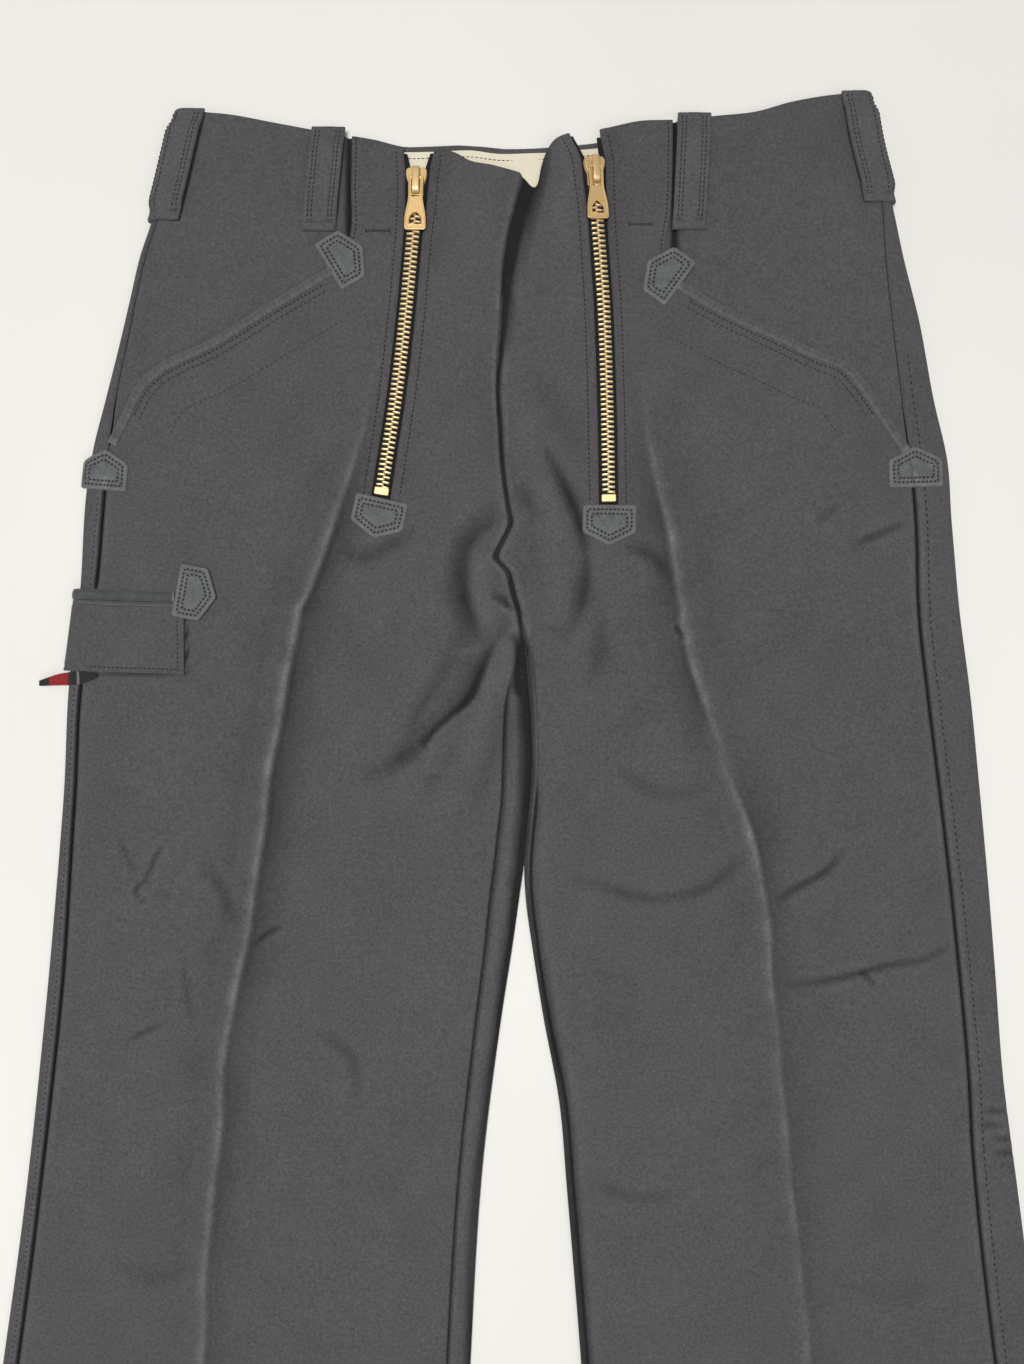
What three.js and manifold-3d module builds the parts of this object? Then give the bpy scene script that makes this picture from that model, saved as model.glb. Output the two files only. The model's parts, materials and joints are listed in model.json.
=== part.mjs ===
// Black guild carpenter's trousers with two brass front zips, laid flat on their back on a table.
// Millimetres, +Z up, the waist towards +Y and the wearer's right at -X. The origin is the
// middle of the underside. Inside this file a place on the garment is given as a tailor would:
// x across from the middle of the front, and drop, the distance down from the waist line.
import * as THREE from "three";
import { mergeVertices } from "three/addons/utils/BufferGeometryUtils.js";
import Module from "manifold-3d";

const wasm = await Module();
wasm.setup();

// Cloth and leather
const CLOTH = 1.2; // heavy moleskin
const SEAM_GAP = 0.3; // between two pieces that are sewn together
const TUCK = CLOTH + SEAM_GAP; // how far a piece lies below the panel that covers it
const LEATHER = 1.3;
const LINING = 1.0;
const LEG_HEIGHT = 5.6; // top of the front panel above the table, on the legs
const HIP_HEIGHT = 7.4; // the same over the pockets and the seat
const HIP_END = 255; // the height falls between these drops
const LEG_START = 335;
const ROLL = 3.5; // how far in the rounded side folds reach
const HEM = 1144; // drop of the lowest hem corner
const WAIST_FADE = 150; // below this drop the rows no longer follow the waist edge
const HEM_FADE = 300; // above the hem by this much they don't follow its slant
const HEM_SLANT = 0.075; // a leg turned outwards lifts its outer hem corner

// Leather patches
const PATCH_WIDTH = 32;
const PATCH_HEIGHT = 24.5;
const PATCH_WALL = 16.5;

// Belt loops
const LOOP_WIDTH = 20;
const LOOP_THICK = 2.2;
const LOOP_ARCH = 2.2;

// Zips
const TAPE_WIDTH = 30;
const TAPE_THICK = 1.0;
const CHAIN_WIDTH = 7.4;
const CHAIN_TOP = 1.0; // above the cloth beside it
const STOP_WIDTH = 8.8;
const STOP_LENGTH = 4.6;
const SLIDER_FRONT = 7; // how far the slider reaches from its pull's axis towards the waist
const SLIDER_BACK = 9.6; // and towards the fork
const SLIDER_WIDE = 12.5;
const SLIDER_NARROW = 8.8;
const SLIDER_TOP = 2.2;
const BAIL_WIDTH = 4.2;
const BAIL_BAR = 1.3;
const PULL_THICK = 1.6;
const PULL_LENGTH = 31.6;
const PULL_NECK = 9; // its width at the axis
const PULL_TIP = 12.9;
const PULL_CLEAR = 0.5; // round the bar of the pull, inside the bail
const PULL_REST_TILT = 1.1; // degrees, so that the pull's tip comes down towards the chain

// The wearer's right side. outer is the side fold, strip the width of back panel that shows
// beside it, and both are in millimetres.
const RIGHT_SIDE = [
  { drop: 0, outer: -200.5, strip: 5 },
  { drop: 67, outer: -217, strip: 4.5 },
  { drop: 88, outer: -224, strip: 4.5 },
  { drop: 114, outer: -230, strip: 4.5 },
  { drop: 144, outer: -237, strip: 5.5 },
  { drop: 174, outer: -244.5, strip: 7 },
  { drop: 201, outer: -251.5, strip: 10 },
  { drop: 228, outer: -256, strip: 12 },
  { drop: 287, outer: -260, strip: 10.5 },
  { drop: 344, outer: -267, strip: 8 },
  { drop: 414, outer: -270.5, strip: 7.5 },
  { drop: 522, outer: -279.5, strip: 9.5 },
  { drop: 639, outer: -291.5, strip: 9 },
  { drop: 752, outer: -306.5, strip: 9.5 },
  { drop: 954, outer: -335.5, strip: 9.5 },
  { drop: HEM, outer: -365, strip: 11 },
];

const LEFT_SIDE = [
  { drop: -11, outer: 214, strip: 5 },
  { drop: 18, outer: 219, strip: 5.5 },
  { drop: 55, outer: 228.5, strip: 7 },
  { drop: 90, outer: 236, strip: 12 },
  { drop: 126, outer: 245, strip: 17 },
  { drop: 174, outer: 254, strip: 20 },
  { drop: 210, outer: 262, strip: 23 },
  { drop: 246, outer: 264.5, strip: 22.5 },
  { drop: 300, outer: 269.5, strip: 25.5 },
  { drop: 348, outer: 276, strip: 26.5 },
  { drop: 414, outer: 282.5, strip: 25 },
  { drop: 518, outer: 291.5, strip: 22.5 },
  { drop: 581, outer: 296, strip: 21.5 },
  { drop: 628, outer: 302, strip: 25 },
  { drop: 752, outer: 318.5, strip: 28 },
  { drop: 954, outer: 350, strip: 30 },
  { drop: HEM, outer: 380, strip: 32 },
];

// The seam down the middle of the front, from the waist to the fork.
const FRONT_SEAM = [
  { drop: 43, x: 15.5 },
  { drop: 54, x: 6 },
  { drop: 66, x: 0 },
  { drop: 82, x: -2.5 },
  { drop: 111, x: -5.5 },
  { drop: 166, x: -8.5 },
  { drop: 217, x: -5.5 },
  { drop: 247, x: -1 },
  { drop: 267, x: -10 },
  { drop: 278, x: -3 },
  { drop: 290, x: 0.5 },
  { drop: 301, x: 4 },
];

// The inner fold of each leg, and the width of back panel that shows beside it.
const RIGHT_INSIDE = [
  { drop: 300, fold: 6.5, strip: 4 },
  { drop: 324, fold: 8, strip: 4 },
  { drop: 339, fold: 9.5, strip: 9.5 },
  { drop: 356, fold: 10.5, strip: 14.5 },
  { drop: 390, fold: 11.8, strip: 17.5 },
  { drop: 414, fold: 10.6, strip: 17.1 },
  { drop: 434, fold: 8.5, strip: 17.5 },
  { drop: 452, fold: 6.6, strip: 17.8 },
  { drop: 474, fold: 4.2, strip: 17.6 },
  { drop: 502, fold: 0.4, strip: 16.6 },
  { drop: 554, fold: -7.6, strip: 15 },
  { drop: 639, fold: -18, strip: 14 },
  { drop: 752, fold: -25, strip: 14 },
  { drop: 954, fold: -33.5, strip: 14 },
  { drop: HEM, fold: -42, strip: 13 },
];

const LEFT_INSIDE = [
  { drop: 300, fold: 6.5, strip: 4 },
  { drop: 324, fold: 8.6, strip: 4 },
  { drop: 354, fold: 11.1, strip: 4 },
  { drop: 390, fold: 12.4, strip: 4 },
  { drop: 414, fold: 11.2, strip: 4 },
  { drop: 434, fold: 9.1, strip: 4 },
  { drop: 452, fold: 7.6, strip: 4.2 },
  { drop: 474, fold: 8.4, strip: 4 },
  { drop: 502, fold: 12, strip: 4 },
  { drop: 545, fold: 18.8, strip: 4 },
  { drop: 597, fold: 28.5, strip: 4 },
  { drop: 648, fold: 33, strip: 4 },
  { drop: 752, fold: 41.5, strip: 4 },
  { drop: 954, fold: 55, strip: 4 },
  { drop: HEM, fold: 69, strip: 4 },
];

// Pressed creases down the fronts: where they run and how high they stand.
const RIGHT_CREASE = [
  { drop: 150, x: -80, height: 0 },
  { drop: 192, x: -87, height: 0.4 },
  { drop: 228, x: -100, height: 1.5 },
  { drop: 264, x: -111.5, height: 3 },
  { drop: 315, x: -130, height: 4.5 },
  { drop: 383, x: -143, height: 4 },
  { drop: 496, x: -157.5, height: 4 },
  { drop: 587, x: -173, height: 3.5 },
  { drop: 752, x: -185.5, height: 3.5 },
  { drop: HEM, x: -208, height: 3 },
];

const LEFT_CREASE = [
  { drop: 150, x: 74, height: 0 },
  { drop: 192, x: 77, height: 0.8 },
  { drop: 228, x: 81, height: 2 },
  { drop: 246, x: 86.5, height: 3 },
  { drop: 307, x: 100, height: 4 },
  { drop: 354, x: 115.5, height: 4.2 },
  { drop: 431, x: 143, height: 4 },
  { drop: 514, x: 156.5, height: 3.5 },
  { drop: 655, x: 167.5, height: 3.2 },
  { drop: 752, x: 176.5, height: 3 },
  { drop: HEM, x: 203, height: 3 },
];
const CREASE_HALF = 8;

// The waist edge of the front and of the back.
const FRONT_WAIST = [
  { x: -205, drop: 0 },
  { x: -170, drop: 2.4 },
  { x: -140, drop: 8 },
  { x: -100, drop: 15 },
  { x: -82, drop: 18 },
  { x: -66, drop: 22 },
  { x: -44, drop: 23.5 },
  { x: -34, drop: 26.5 },
  { x: -25, drop: 32 },
  { x: -10, drop: 35 },
  { x: 6.5, drop: 39 },
  { x: 15.5, drop: 43 },
  { x: 17.5, drop: 33 },
  { x: 22, drop: 22 },
  { x: 33, drop: 15.5 },
  { x: 44, drop: 14 },
  { x: 58, drop: 11 },
  { x: 76, drop: 7 },
  { x: 97, drop: 6 },
  { x: 120, drop: 3.3 },
  { x: 147, drop: 0.4 },
  { x: 168, drop: -5.5 },
  { x: 198, drop: -10 },
  { x: 218, drop: -10 },
];

const BACK_WAIST = [
  { x: -205, drop: 0 },
  { x: -170, drop: 4 },
  { x: -120, drop: 14 },
  { x: -66, drop: 22.8 },
  { x: -25, drop: 22 },
  { x: -8, drop: 24 },
  { x: 19, drop: 23.5 },
  { x: 50, drop: 20.5 },
  { x: 110, drop: 9 },
  { x: 170, drop: -4.5 },
  { x: 218, drop: -10 },
];

// Soft puffs and hollows of the front. across and along are their half sizes, and turn is the
// way that they run, in degrees from straight down.
const PUFFS = [
  { name: "fall, right half", x: -20, drop: 58, across: 20, along: 48, turn: 4, height: 4.4 },
  { name: "fall, left half", x: 31, drop: 48, across: 16, along: 52, turn: -4, height: 5.0 },
  { name: "below the fall", x: 16, drop: 205, across: 14, along: 56, turn: -17, height: 2.0 },
  { name: "fork", x: -20, drop: 292, across: 13, along: 30, turn: 0, height: 2.8 },
  { name: "inside of the thigh", x: -20, drop: 372, across: 12, along: 44, turn: 22, height: 2.4 },
  { name: "left thigh", x: 44, drop: 355, across: 20, along: 60, turn: -10, height: 1.6 },
];

// The groove at the seam of the front, pushed right in at the waist edge. share is how much
// of the way down to the groove's floor it reaches.
const GROOVE_FLOOR = 4.3;
const GROOVE = [
  { drop: 30, share: 1, half: 8.5 },
  { drop: 43, share: 1, half: 8 },
  { drop: 66, share: 0.8, half: 7 },
  { drop: 90, share: 0.5, half: 5.5 },
  { drop: 130, share: 0.3, half: 4.5 },
  { drop: 300, share: 0.3, half: 4 },
  { drop: 330, share: 0, half: 4 },
];

// The zips: the middle of the chain, and how far from it the slot in the front panel reaches
// towards the fall and towards the placket.
const RIGHT_ZIP = [
  { drop: 5, x: -55, fall: 9, placket: 9 },
  { drop: 24, x: -56.3, fall: 9.6, placket: 8.9 },
  { drop: 34, x: -57, fall: 8, placket: 7.2 },
  { drop: 46, x: -57.2, fall: 7, placket: 6.9 },
  { drop: 58, x: -57.7, fall: 6.4, placket: 6.4 },
  { drop: 78, x: -59.5, fall: 5.7, placket: 5.8 },
  { drop: 121, x: -63.5, fall: 5.8, placket: 5.8 },
  { drop: 169, x: -69, fall: 5.8, placket: 5.8 },
  { drop: 217, x: -76.2, fall: 5.8, placket: 5.8 },
  { drop: 233, x: -78.6, fall: 5.8, placket: 5.8 },
];

const LEFT_ZIP = [
  { drop: -5, x: 46.5, fall: 15, placket: 5 },
  { drop: 15, x: 47.8, fall: 13.6, placket: 5 },
  { drop: 31, x: 48.8, fall: 7.6, placket: 7.2 },
  { drop: 43, x: 49.5, fall: 6.9, placket: 7 },
  { drop: 58, x: 50.3, fall: 5.5, placket: 6.8 },
  { drop: 71, x: 51.3, fall: 5.4, placket: 6.2 },
  { drop: 92, x: 53.1, fall: 5.7, placket: 5.9 },
  { drop: 117, x: 54.9, fall: 5.8, placket: 5.8 },
  { drop: 165, x: 56.6, fall: 5.8, placket: 5.8 },
  { drop: 213, x: 57.6, fall: 5.8, placket: 5.8 },
  { drop: 237, x: 58, fall: 5.8, placket: 5.8 },
];
const RIGHT_SLIDER_DROP = 43;
const LEFT_SLIDER_DROP = 36.8;

// The edge of the front panel round each hip pocket: down beside the belt loop, then out
// along the slanting mouth to the side.
const RIGHT_MOUTH = [
  { x: -96.5, drop: -40 },
  { x: -96.5, drop: 45 },
  { x: -98.5, drop: 80 },
  { x: -110, drop: 96.5 },
  { x: -141, drop: 115 },
  { x: -180, drop: 139 },
  { x: -213, drop: 156 },
  { x: -224, drop: 167 },
  { x: -232, drop: 183 },
  { x: -241.5, drop: 202 },
];

const LEFT_MOUTH = [
  { x: 96.5, drop: -40 },
  { x: 95.5, drop: 58 },
  { x: 93, drop: 90 },
  { x: 103, drop: 106 },
  { x: 127, drop: 120 },
  { x: 157, drop: 134 },
  { x: 182, drop: 146 },
  { x: 200, drop: 153.5 },
  { x: 210, drop: 164 },
  { x: 221, drop: 180 },
  { x: 238, drop: 206 },
];
const MOUTH_BEND = 3; // the slanting mouth starts at this point of each table

// A smooth curve through one column of a table, which runs on straight past both of its ends.
function curve(table, key, column, at) {
  const last = table.length - 1;
  let i = 0;
  while (i < last - 1 && table[i + 1][key] < at) i += 1;
  const slope = (from) =>
    (table[from + 1][column] - table[from][column]) / (table[from + 1][key] - table[from][key]);
  const bend = (from) => (slope(Math.max(0, from - 1)) + slope(Math.min(last - 1, from))) / 2;
  const [a, b] = [table[i], table[i + 1]];
  const span = b[key] - a[key];
  const run = (at - a[key]) / span;
  if (run <= 0) return a[column] + bend(i) * span * run;
  if (run >= 1) return b[column] + bend(i + 1) * span * (run - 1);
  const share = run * run * (3 - 2 * run);
  const level = a[column] * (1 - share) + b[column] * share;
  const rise = bend(i) * run * (1 - run) ** 2 - bend(i + 1) * run * run * (1 - run);
  return level + rise * span;
}

const smooth = THREE.MathUtils.smoothstep;
const mix = THREE.MathUtils.lerp;
const bell = (distance, half) => Math.exp(-((distance / half) ** 2));
const creaseShape = (distance) => 1 / (1 + (distance / CREASE_HALF) ** 2) ** 2;

function puffHeight(puff, x, drop) {
  const turn = THREE.MathUtils.degToRad(puff.turn);
  const across = (x - puff.x) * Math.cos(turn) + (drop - puff.drop) * Math.sin(turn);
  const along = (drop - puff.drop) * Math.cos(turn) - (x - puff.x) * Math.sin(turn);
  return puff.height * bell(across, puff.across) * bell(along, puff.along);
}

// Height above the table of the outer face of the front.
function frontHeight(x, drop) {
  let z = mix(HIP_HEIGHT, LEG_HEIGHT, smooth(drop, HIP_END, LEG_START));
  for (const crease of [RIGHT_CREASE, LEFT_CREASE]) {
    const lift = Math.max(0, curve(crease, "drop", "height", drop));
    if (drop > crease[0].drop) z += lift * creaseShape(x - curve(crease, "drop", "x", drop));
  }
  for (const puff of PUFFS) z += puffHeight(puff, x, drop);
  const seam = curve(FRONT_SEAM, "drop", "x", Math.min(drop, 301));
  const share = THREE.MathUtils.clamp(curve(GROOVE, "drop", "share", drop), 0, 1);
  return mix(z, GROOVE_FLOOR, share * bell(x - seam, curve(GROOVE, "drop", "half", drop)));
}

// A point over the front's outer face, lifted along the face's own normal.
function onFront(x, drop, lift) {
  const step = 1;
  const across = (frontHeight(x + step, drop) - frontHeight(x - step, drop)) / (2 * step);
  const down = (frontHeight(x, drop + step) - frontHeight(x, drop - step)) / (2 * step);
  const normal = new THREE.Vector3(-across, down, 1).normalize();
  return new THREE.Vector3(x, -drop, frontHeight(x, drop)).addScaledVector(normal, lift);
}

// A point on the rounded fold whose outermost place is at edge. side is the way the fold
// faces, -1 or 1, and angle runs from 0 on top to 180 degrees on the table.
function onFold(edge, side, drop, angle, lift) {
  const centre = edge - side * ROLL;
  const half = frontHeight(centre, drop) / 2;
  return new THREE.Vector3(
    centre + side * (ROLL + lift) * Math.sin(angle),
    -drop,
    half + (half + lift) * Math.cos(angle),
  );
}

// A point on the cloth by its distance in from a fold's outermost place, measured along the
// cloth, so that small distances run on round the fold.
function onCloth(edge, side, inwards, drop, lift) {
  if (inwards >= ROLL) return onFront(edge - side * inwards, drop, lift);
  const half = frontHeight(edge - side * ROLL, drop) / 2;
  const girth = Math.PI * Math.sqrt((ROLL ** 2 + half ** 2) / 2);
  return onFold(edge, side, drop, ((ROLL - inwards) / girth) * Math.PI, lift);
}

// A closed solid between two grids of points with the same rows and columns.
function slab(upper, lower) {
  const rows = upper.length;
  const columns = upper[0].length;
  const points = [...upper.flat(), ...lower.flat()];
  const place = (layer, i, j) => layer * rows * columns + i * columns + j;
  const faces = [];
  const quad = (a, b, c, d) => faces.push(a, b, c, a, c, d);
  for (let i = 0; i < rows - 1; i += 1) {
    for (let j = 0; j < columns - 1; j += 1) {
      quad(place(0, i, j), place(0, i + 1, j), place(0, i + 1, j + 1), place(0, i, j + 1));
      quad(place(1, i, j), place(1, i, j + 1), place(1, i + 1, j + 1), place(1, i + 1, j));
    }
    quad(place(0, i, 0), place(1, i, 0), place(1, i + 1, 0), place(0, i + 1, 0));
    const end = columns - 1;
    quad(place(0, i, end), place(0, i + 1, end), place(1, i + 1, end), place(1, i, end));
  }
  for (let j = 0; j < columns - 1; j += 1) {
    quad(place(0, 0, j), place(0, 0, j + 1), place(1, 0, j + 1), place(1, 0, j));
    const end = rows - 1;
    quad(place(0, end, j), place(1, end, j), place(1, end, j + 1), place(0, end, j + 1));
  }
  const positions = new Float32Array(points.flatMap((p) => [p.x, p.y, p.z]));
  const geometry = new THREE.BufferGeometry();
  geometry.setAttribute("position", new THREE.BufferAttribute(positions, 3));
  geometry.setIndex(faces);
  return geometry;
}

function solidOf(geometry) {
  const bare = geometry.clone();
  bare.deleteAttribute("normal");
  bare.deleteAttribute("uv");
  const merged = mergeVertices(bare, 1e-4);
  const mesh = new wasm.Mesh({
    numProp: 3,
    vertProperties: new Float32Array(merged.attributes.position.array),
    triVerts: new Uint32Array(merged.index.array),
  });
  return new wasm.Manifold(mesh);
}

function geometryOf(solid) {
  const mesh = solid.getMesh();
  const geometry = new THREE.BufferGeometry();
  geometry.setAttribute("position", new THREE.BufferAttribute(mesh.vertProperties, 3));
  geometry.setIndex(new THREE.BufferAttribute(mesh.triVerts, 1));
  return geometry;
}

// An upright prism that cuts through the whole thickness, from an outline of x and drop.
function cutter(outline) {
  const shape = new THREE.Shape(outline.map((p) => new THREE.Vector2(p.x, -p.drop)));
  const deep = 60;
  const prism = new THREE.ExtrudeGeometry(shape, { depth: deep, bevelEnabled: false });
  return solidOf(prism.translate(0, 0, -deep / 2));
}

// Rows of the big panels: drops from the waist edge, closer together where the shape changes.
const ROWS = [
  0, 14, 30, 48, 68, 90, 115, 145, 175, 205, 228, 247, 262, 276, 289, 301, 313, 326, 342, 360,
  385, 414, 446, 485, 530, 580, 640, 700, 760, 830, 910, 990, 1070, HEM,
];

// The drop of a row at one x: the first rows follow the waist edge and the last the hem.
function rowDrop(row, x, waist, hemInner) {
  const follow = Math.max(0, 1 - row / WAIST_FADE);
  const slant = Math.max(0, 1 - (HEM - row) / HEM_FADE) * HEM_SLANT * Math.abs(x - hemInner);
  return row + curve(waist, "x", "drop", x) * follow - slant;
}

const SIDES = {
  right: {
    sign: -1,
    side: RIGHT_SIDE,
    inside: RIGHT_INSIDE,
    crease: RIGHT_CREASE,
    zip: RIGHT_ZIP,
    mouth: RIGHT_MOUTH,
    waistCorner: -197,
    hemInner: -42,
    sliderDrop: RIGHT_SLIDER_DROP,
  },
  left: {
    sign: 1,
    side: LEFT_SIDE,
    inside: LEFT_INSIDE,
    crease: LEFT_CREASE,
    zip: LEFT_ZIP,
    mouth: LEFT_MOUTH,
    waistCorner: 212,
    hemInner: 69,
    sliderDrop: LEFT_SLIDER_DROP,
  },
};
const FORK = 301; // the middle seam ends here and the two inside seams start
const LEGS_PARTED = 326;

const outerFold = (leg, drop) => curve(leg.side, "drop", "outer", drop);
const innerFold = (leg, drop) => curve(leg.inside, "drop", "fold", drop);
const sideSeam = (leg, drop) =>
  outerFold(leg, drop) - leg.sign * Math.max(ROLL + 0.5, curve(leg.side, "drop", "strip", drop));

// The inner edge of a front panel: the middle seam, then the inside seam of the leg.
function innerSeam(leg, drop) {
  const middle = curve(FRONT_SEAM, "drop", "x", Math.min(drop, FORK));
  const inside = innerFold(leg, drop) + leg.sign * curve(leg.inside, "drop", "strip", drop);
  if (drop <= FORK) return middle;
  return mix(middle, inside, smooth(drop, FORK, LEGS_PARTED - 7));
}

// Where the columns of a front panel lie between its side seam and its inner seam. Three
// follow the crease and the last two the groove at the middle seam.
function frontColumns(leg, row) {
  const atSide = rowDrop(row, sideSeam(leg, row), FRONT_WAIST, leg.hemInner);
  const middleX = row < WAIST_FADE ? 15.5 : 0;
  const atMiddle = rowDrop(row, row > FORK ? innerSeam(leg, row) : middleX, FRONT_WAIST, leg.hemInner);
  const half = SEAM_GAP / 2;
  const from = sideSeam(leg, atSide) - leg.sign * half;
  const to = innerSeam(leg, atMiddle) + leg.sign * half;
  const crease = curve(leg.crease, "drop", "x", Math.max(row, leg.crease[0].drop));
  const inwards = -leg.sign;
  const ridge = [-CREASE_HALF, 0, CREASE_HALF].map((step) => crease + step * inwards);
  const outerGaps = [0, 0.3, 0.62].map((share) => mix(from, ridge[0], share));
  const groove = to - inwards * 17;
  const innerGaps = [0.2, 0.4, 0.6, 0.8, 1].map((share) => mix(ridge[2], groove, share));
  return [...outerGaps, ...ridge, ...innerGaps, to - inwards * 8, to - inwards * 3.5, to];
}

function frontPanel(leg) {
  const layer = (lift) =>
    ROWS.map((row) =>
      frontColumns(leg, row).map((x) => onFront(x, rowDrop(row, x, FRONT_WAIST, leg.hemInner), lift)),
    );
  const upper = layer(0);
  const lower = layer(-CLOTH);
  const panel = leg.sign < 0 ? slab(upper, lower) : slab(lower, upper);
  const outside = leg.sign * 330;
  const last = leg.mouth[leg.mouth.length - 1];
  const pocket = [...leg.mouth, { x: outside, drop: last.drop }, { x: outside, drop: -40 }];
  const [above, ...rest] = leg.zip;
  const opening = [{ ...above, drop: above.drop - 30 }, ...rest];
  const slot = [
    ...opening.map((z) => ({ x: z.x + leg.sign * z.placket, drop: z.drop })),
    ...opening.map((z) => ({ x: z.x - leg.sign * z.fall, drop: z.drop })).reverse(),
  ];
  return geometryOf(solidOf(panel).subtract(cutter(pocket)).subtract(cutter(slot)));
}

// One ring of a back panel: from the side seam round the outer fold, along the table, and
// below the fork up round the inner fold to the inside seam.
const FOLD_STEPS = 5;
function backRing(leg, row, lift) {
  const { sign, hemInner } = leg;
  const half = SEAM_GAP / 2;
  const dropAt = (x) => rowDrop(row, x, BACK_WAIST, hemInner);
  const atSide = dropAt(sideSeam(leg, row));
  const edge = outerFold(leg, atSide);
  const seam = sideSeam(leg, atSide) + sign * half;
  const ring = [onFront(seam, atSide, lift)];
  for (let k = 0; k <= FOLD_STEPS; k += 1) {
    ring.push(onFold(edge, sign, atSide, (k / FOLD_STEPS) * Math.PI, lift));
  }
  const fork = Math.max(row, FORK);
  const inner = innerFold(leg, fork);
  const flatEnd = inner + sign * half;
  const foldX = inner + sign * ROLL;
  const table = (x) => new THREE.Vector3(x, -dropAt(x), -lift);
  ring.push(table(mix(edge, inner, 0.35)), table(mix(edge, inner, 0.7)));
  const wrap = smooth(row, FORK, LEGS_PARTED);
  const insideSeam = innerSeam(leg, Math.max(row, LEGS_PARTED)) - sign * half;
  const innerDrop = dropAt(inner);
  for (let k = 0; k <= FOLD_STEPS + 1; k += 1) {
    const share = k / (FOLD_STEPS + 1);
    const flat = table(mix(foldX + sign * 8, flatEnd, share));
    const angle = (1 - k / FOLD_STEPS) * Math.PI;
    const rolled =
      k <= FOLD_STEPS
        ? onFold(inner, -sign, innerDrop, angle, lift)
        : onFront(insideSeam, innerDrop, lift);
    ring.push(flat.lerp(rolled, wrap));
  }
  return ring;
}

function backPanel(leg) {
  const outer = ROWS.map((row) => backRing(leg, row, 0));
  const inner = ROWS.map((row) => backRing(leg, row, -CLOTH));
  return leg.sign < 0 ? slab(inner, outer) : slab(outer, inner);
}

// The piece that shows above a pocket mouth. It is level with the back at the side seam and
// lies below the front panel at the mouth, where it is tucked in by a margin.
const FACING_MARGIN = 9;
const FACING_ROWS = [0, 0.08, 0.2, 0.34, 0.48, 0.62, 0.76, 0.88, 1];
const FACING_COLUMNS = [0, 0.06, 0.14, 0.25, 0.4, 0.55, 0.7, 0.85, 1];

function pocketFacing(leg) {
  const { sign, mouth } = leg;
  const end = mouth[mouth.length - 1];
  const slant = mouth.slice(MOUTH_BEND).map((p) => ({ out: Math.abs(p.x), drop: p.drop }));
  const placket = Math.abs(mouth[0].x) - FACING_MARGIN;
  const layer = (below) =>
    FACING_ROWS.map((share) => {
      const low = end.drop + FACING_MARGIN;
      const atSide = mix(curve(FRONT_WAIST, "x", "drop", leg.waistCorner), low, share);
      const seam = Math.abs(sideSeam(leg, atSide)) - 2 * SEAM_GAP;
      return FACING_COLUMNS.map((part) => {
        const out = mix(seam, placket, part);
        const drop = mix(curve(FRONT_WAIST, "x", "drop", sign * out), low, share);
        const nearSide = 1 - smooth(seam - out, 2, 14);
        const aboveMouth = smooth(curve(slant, "out", "drop", out) - drop, 6, 26);
        const lift = -(TUCK + SEAM_GAP / 2) * (1 - nearSide * aboveMouth) - below;
        return onFront(sign * out, drop, lift);
      });
    });
  const upper = layer(0);
  const lower = layer(CLOTH);
  const sheet = sign < 0 ? slab(upper, lower) : slab(lower, upper);
  const outline = [
    { x: sign * placket, drop: -40 },
    { x: sign * placket, drop: mouth[MOUTH_BEND].drop + FACING_MARGIN },
    ...mouth.slice(MOUTH_BEND + 1).map((p) => ({ x: p.x + sign * 2, drop: p.drop + FACING_MARGIN })),
    { x: sign * 330, drop: end.drop + FACING_MARGIN },
    { x: sign * 330, drop: -40 },
  ];
  return geometryOf(solidOf(sheet).intersect(cutter(outline)));
}

// A place on the front, or round its side fold where x runs past the fold's middle.
function onGarment(leg, x, drop, lift) {
  const edge = outerFold(leg, drop);
  return onCloth(edge, leg.sign, leg.sign * (edge - x), drop, lift);
}

// A solid between two layers of points, whichever way round its rows and columns run.
function sheetBetween(upper, lower) {
  const corner = upper[0][0];
  const down = upper[1][0].clone().sub(corner);
  const across = upper[0][1].clone().sub(corner);
  const outwards = corner.clone().sub(lower[0][0]);
  return down.cross(across).dot(outwards) > 0 ? slab(upper, lower) : slab(lower, upper);
}

const shares = (steps) => Array.from({ length: steps + 1 }, (_, i) => i / steps);

// The cream band inside the back waist. It is built as far as the open front shows it.
const LINING_FROM = -84;
const LINING_TO = 70;
const LINING_BELOW_EDGE = 3.2;
const LINING_DEEP = 40;

function waistLining() {
  const layer = (z) =>
    shares(2).map((share) =>
      shares(12).map((part) => {
        const x = mix(LINING_FROM, LINING_TO, part);
        const drop = curve(BACK_WAIST, "x", "drop", x) + LINING_BELOW_EDGE + LINING_DEEP * share;
        return new THREE.Vector3(x, -drop, z);
      }),
    );
  return sheetBetween(layer(TUCK + LINING), layer(TUCK));
}

// A belt loop: a folded strip that is sewn down at both ends and stands off between them. Where
// its middle lies is given at its two ends, as x on the front or as the distance inwards round
// the cloth from the side fold.
const LOOPS = [
  { name: "belt_loop_front_right", leg: "right", top: 10.5, length: 62.3, x: [-110, -115.8], on: -TUCK },
  { name: "belt_loop_front_left", leg: "left", top: 2, length: 70, x: [109.5, 106], on: -TUCK },
  { name: "belt_loop_side_right", leg: "right", top: 0.5, length: 66.5, inwards: [7, 7.5], on: 0 },
  { name: "belt_loop_side_left", leg: "left", top: -10.2, length: 66.2, inwards: [7, 8], on: 0 },
];
const LOOP_SEWN = 5; // how far each end lies on the cloth
const LOOP_COLUMNS = [-0.5, -0.25, 0, 0.25, 0.5];
const LOOP_COLUMNS_ROUND_FOLD = [-0.5, -0.44, -0.37, -0.29, -0.2, -0.05, 0.2, 0.5];

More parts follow.
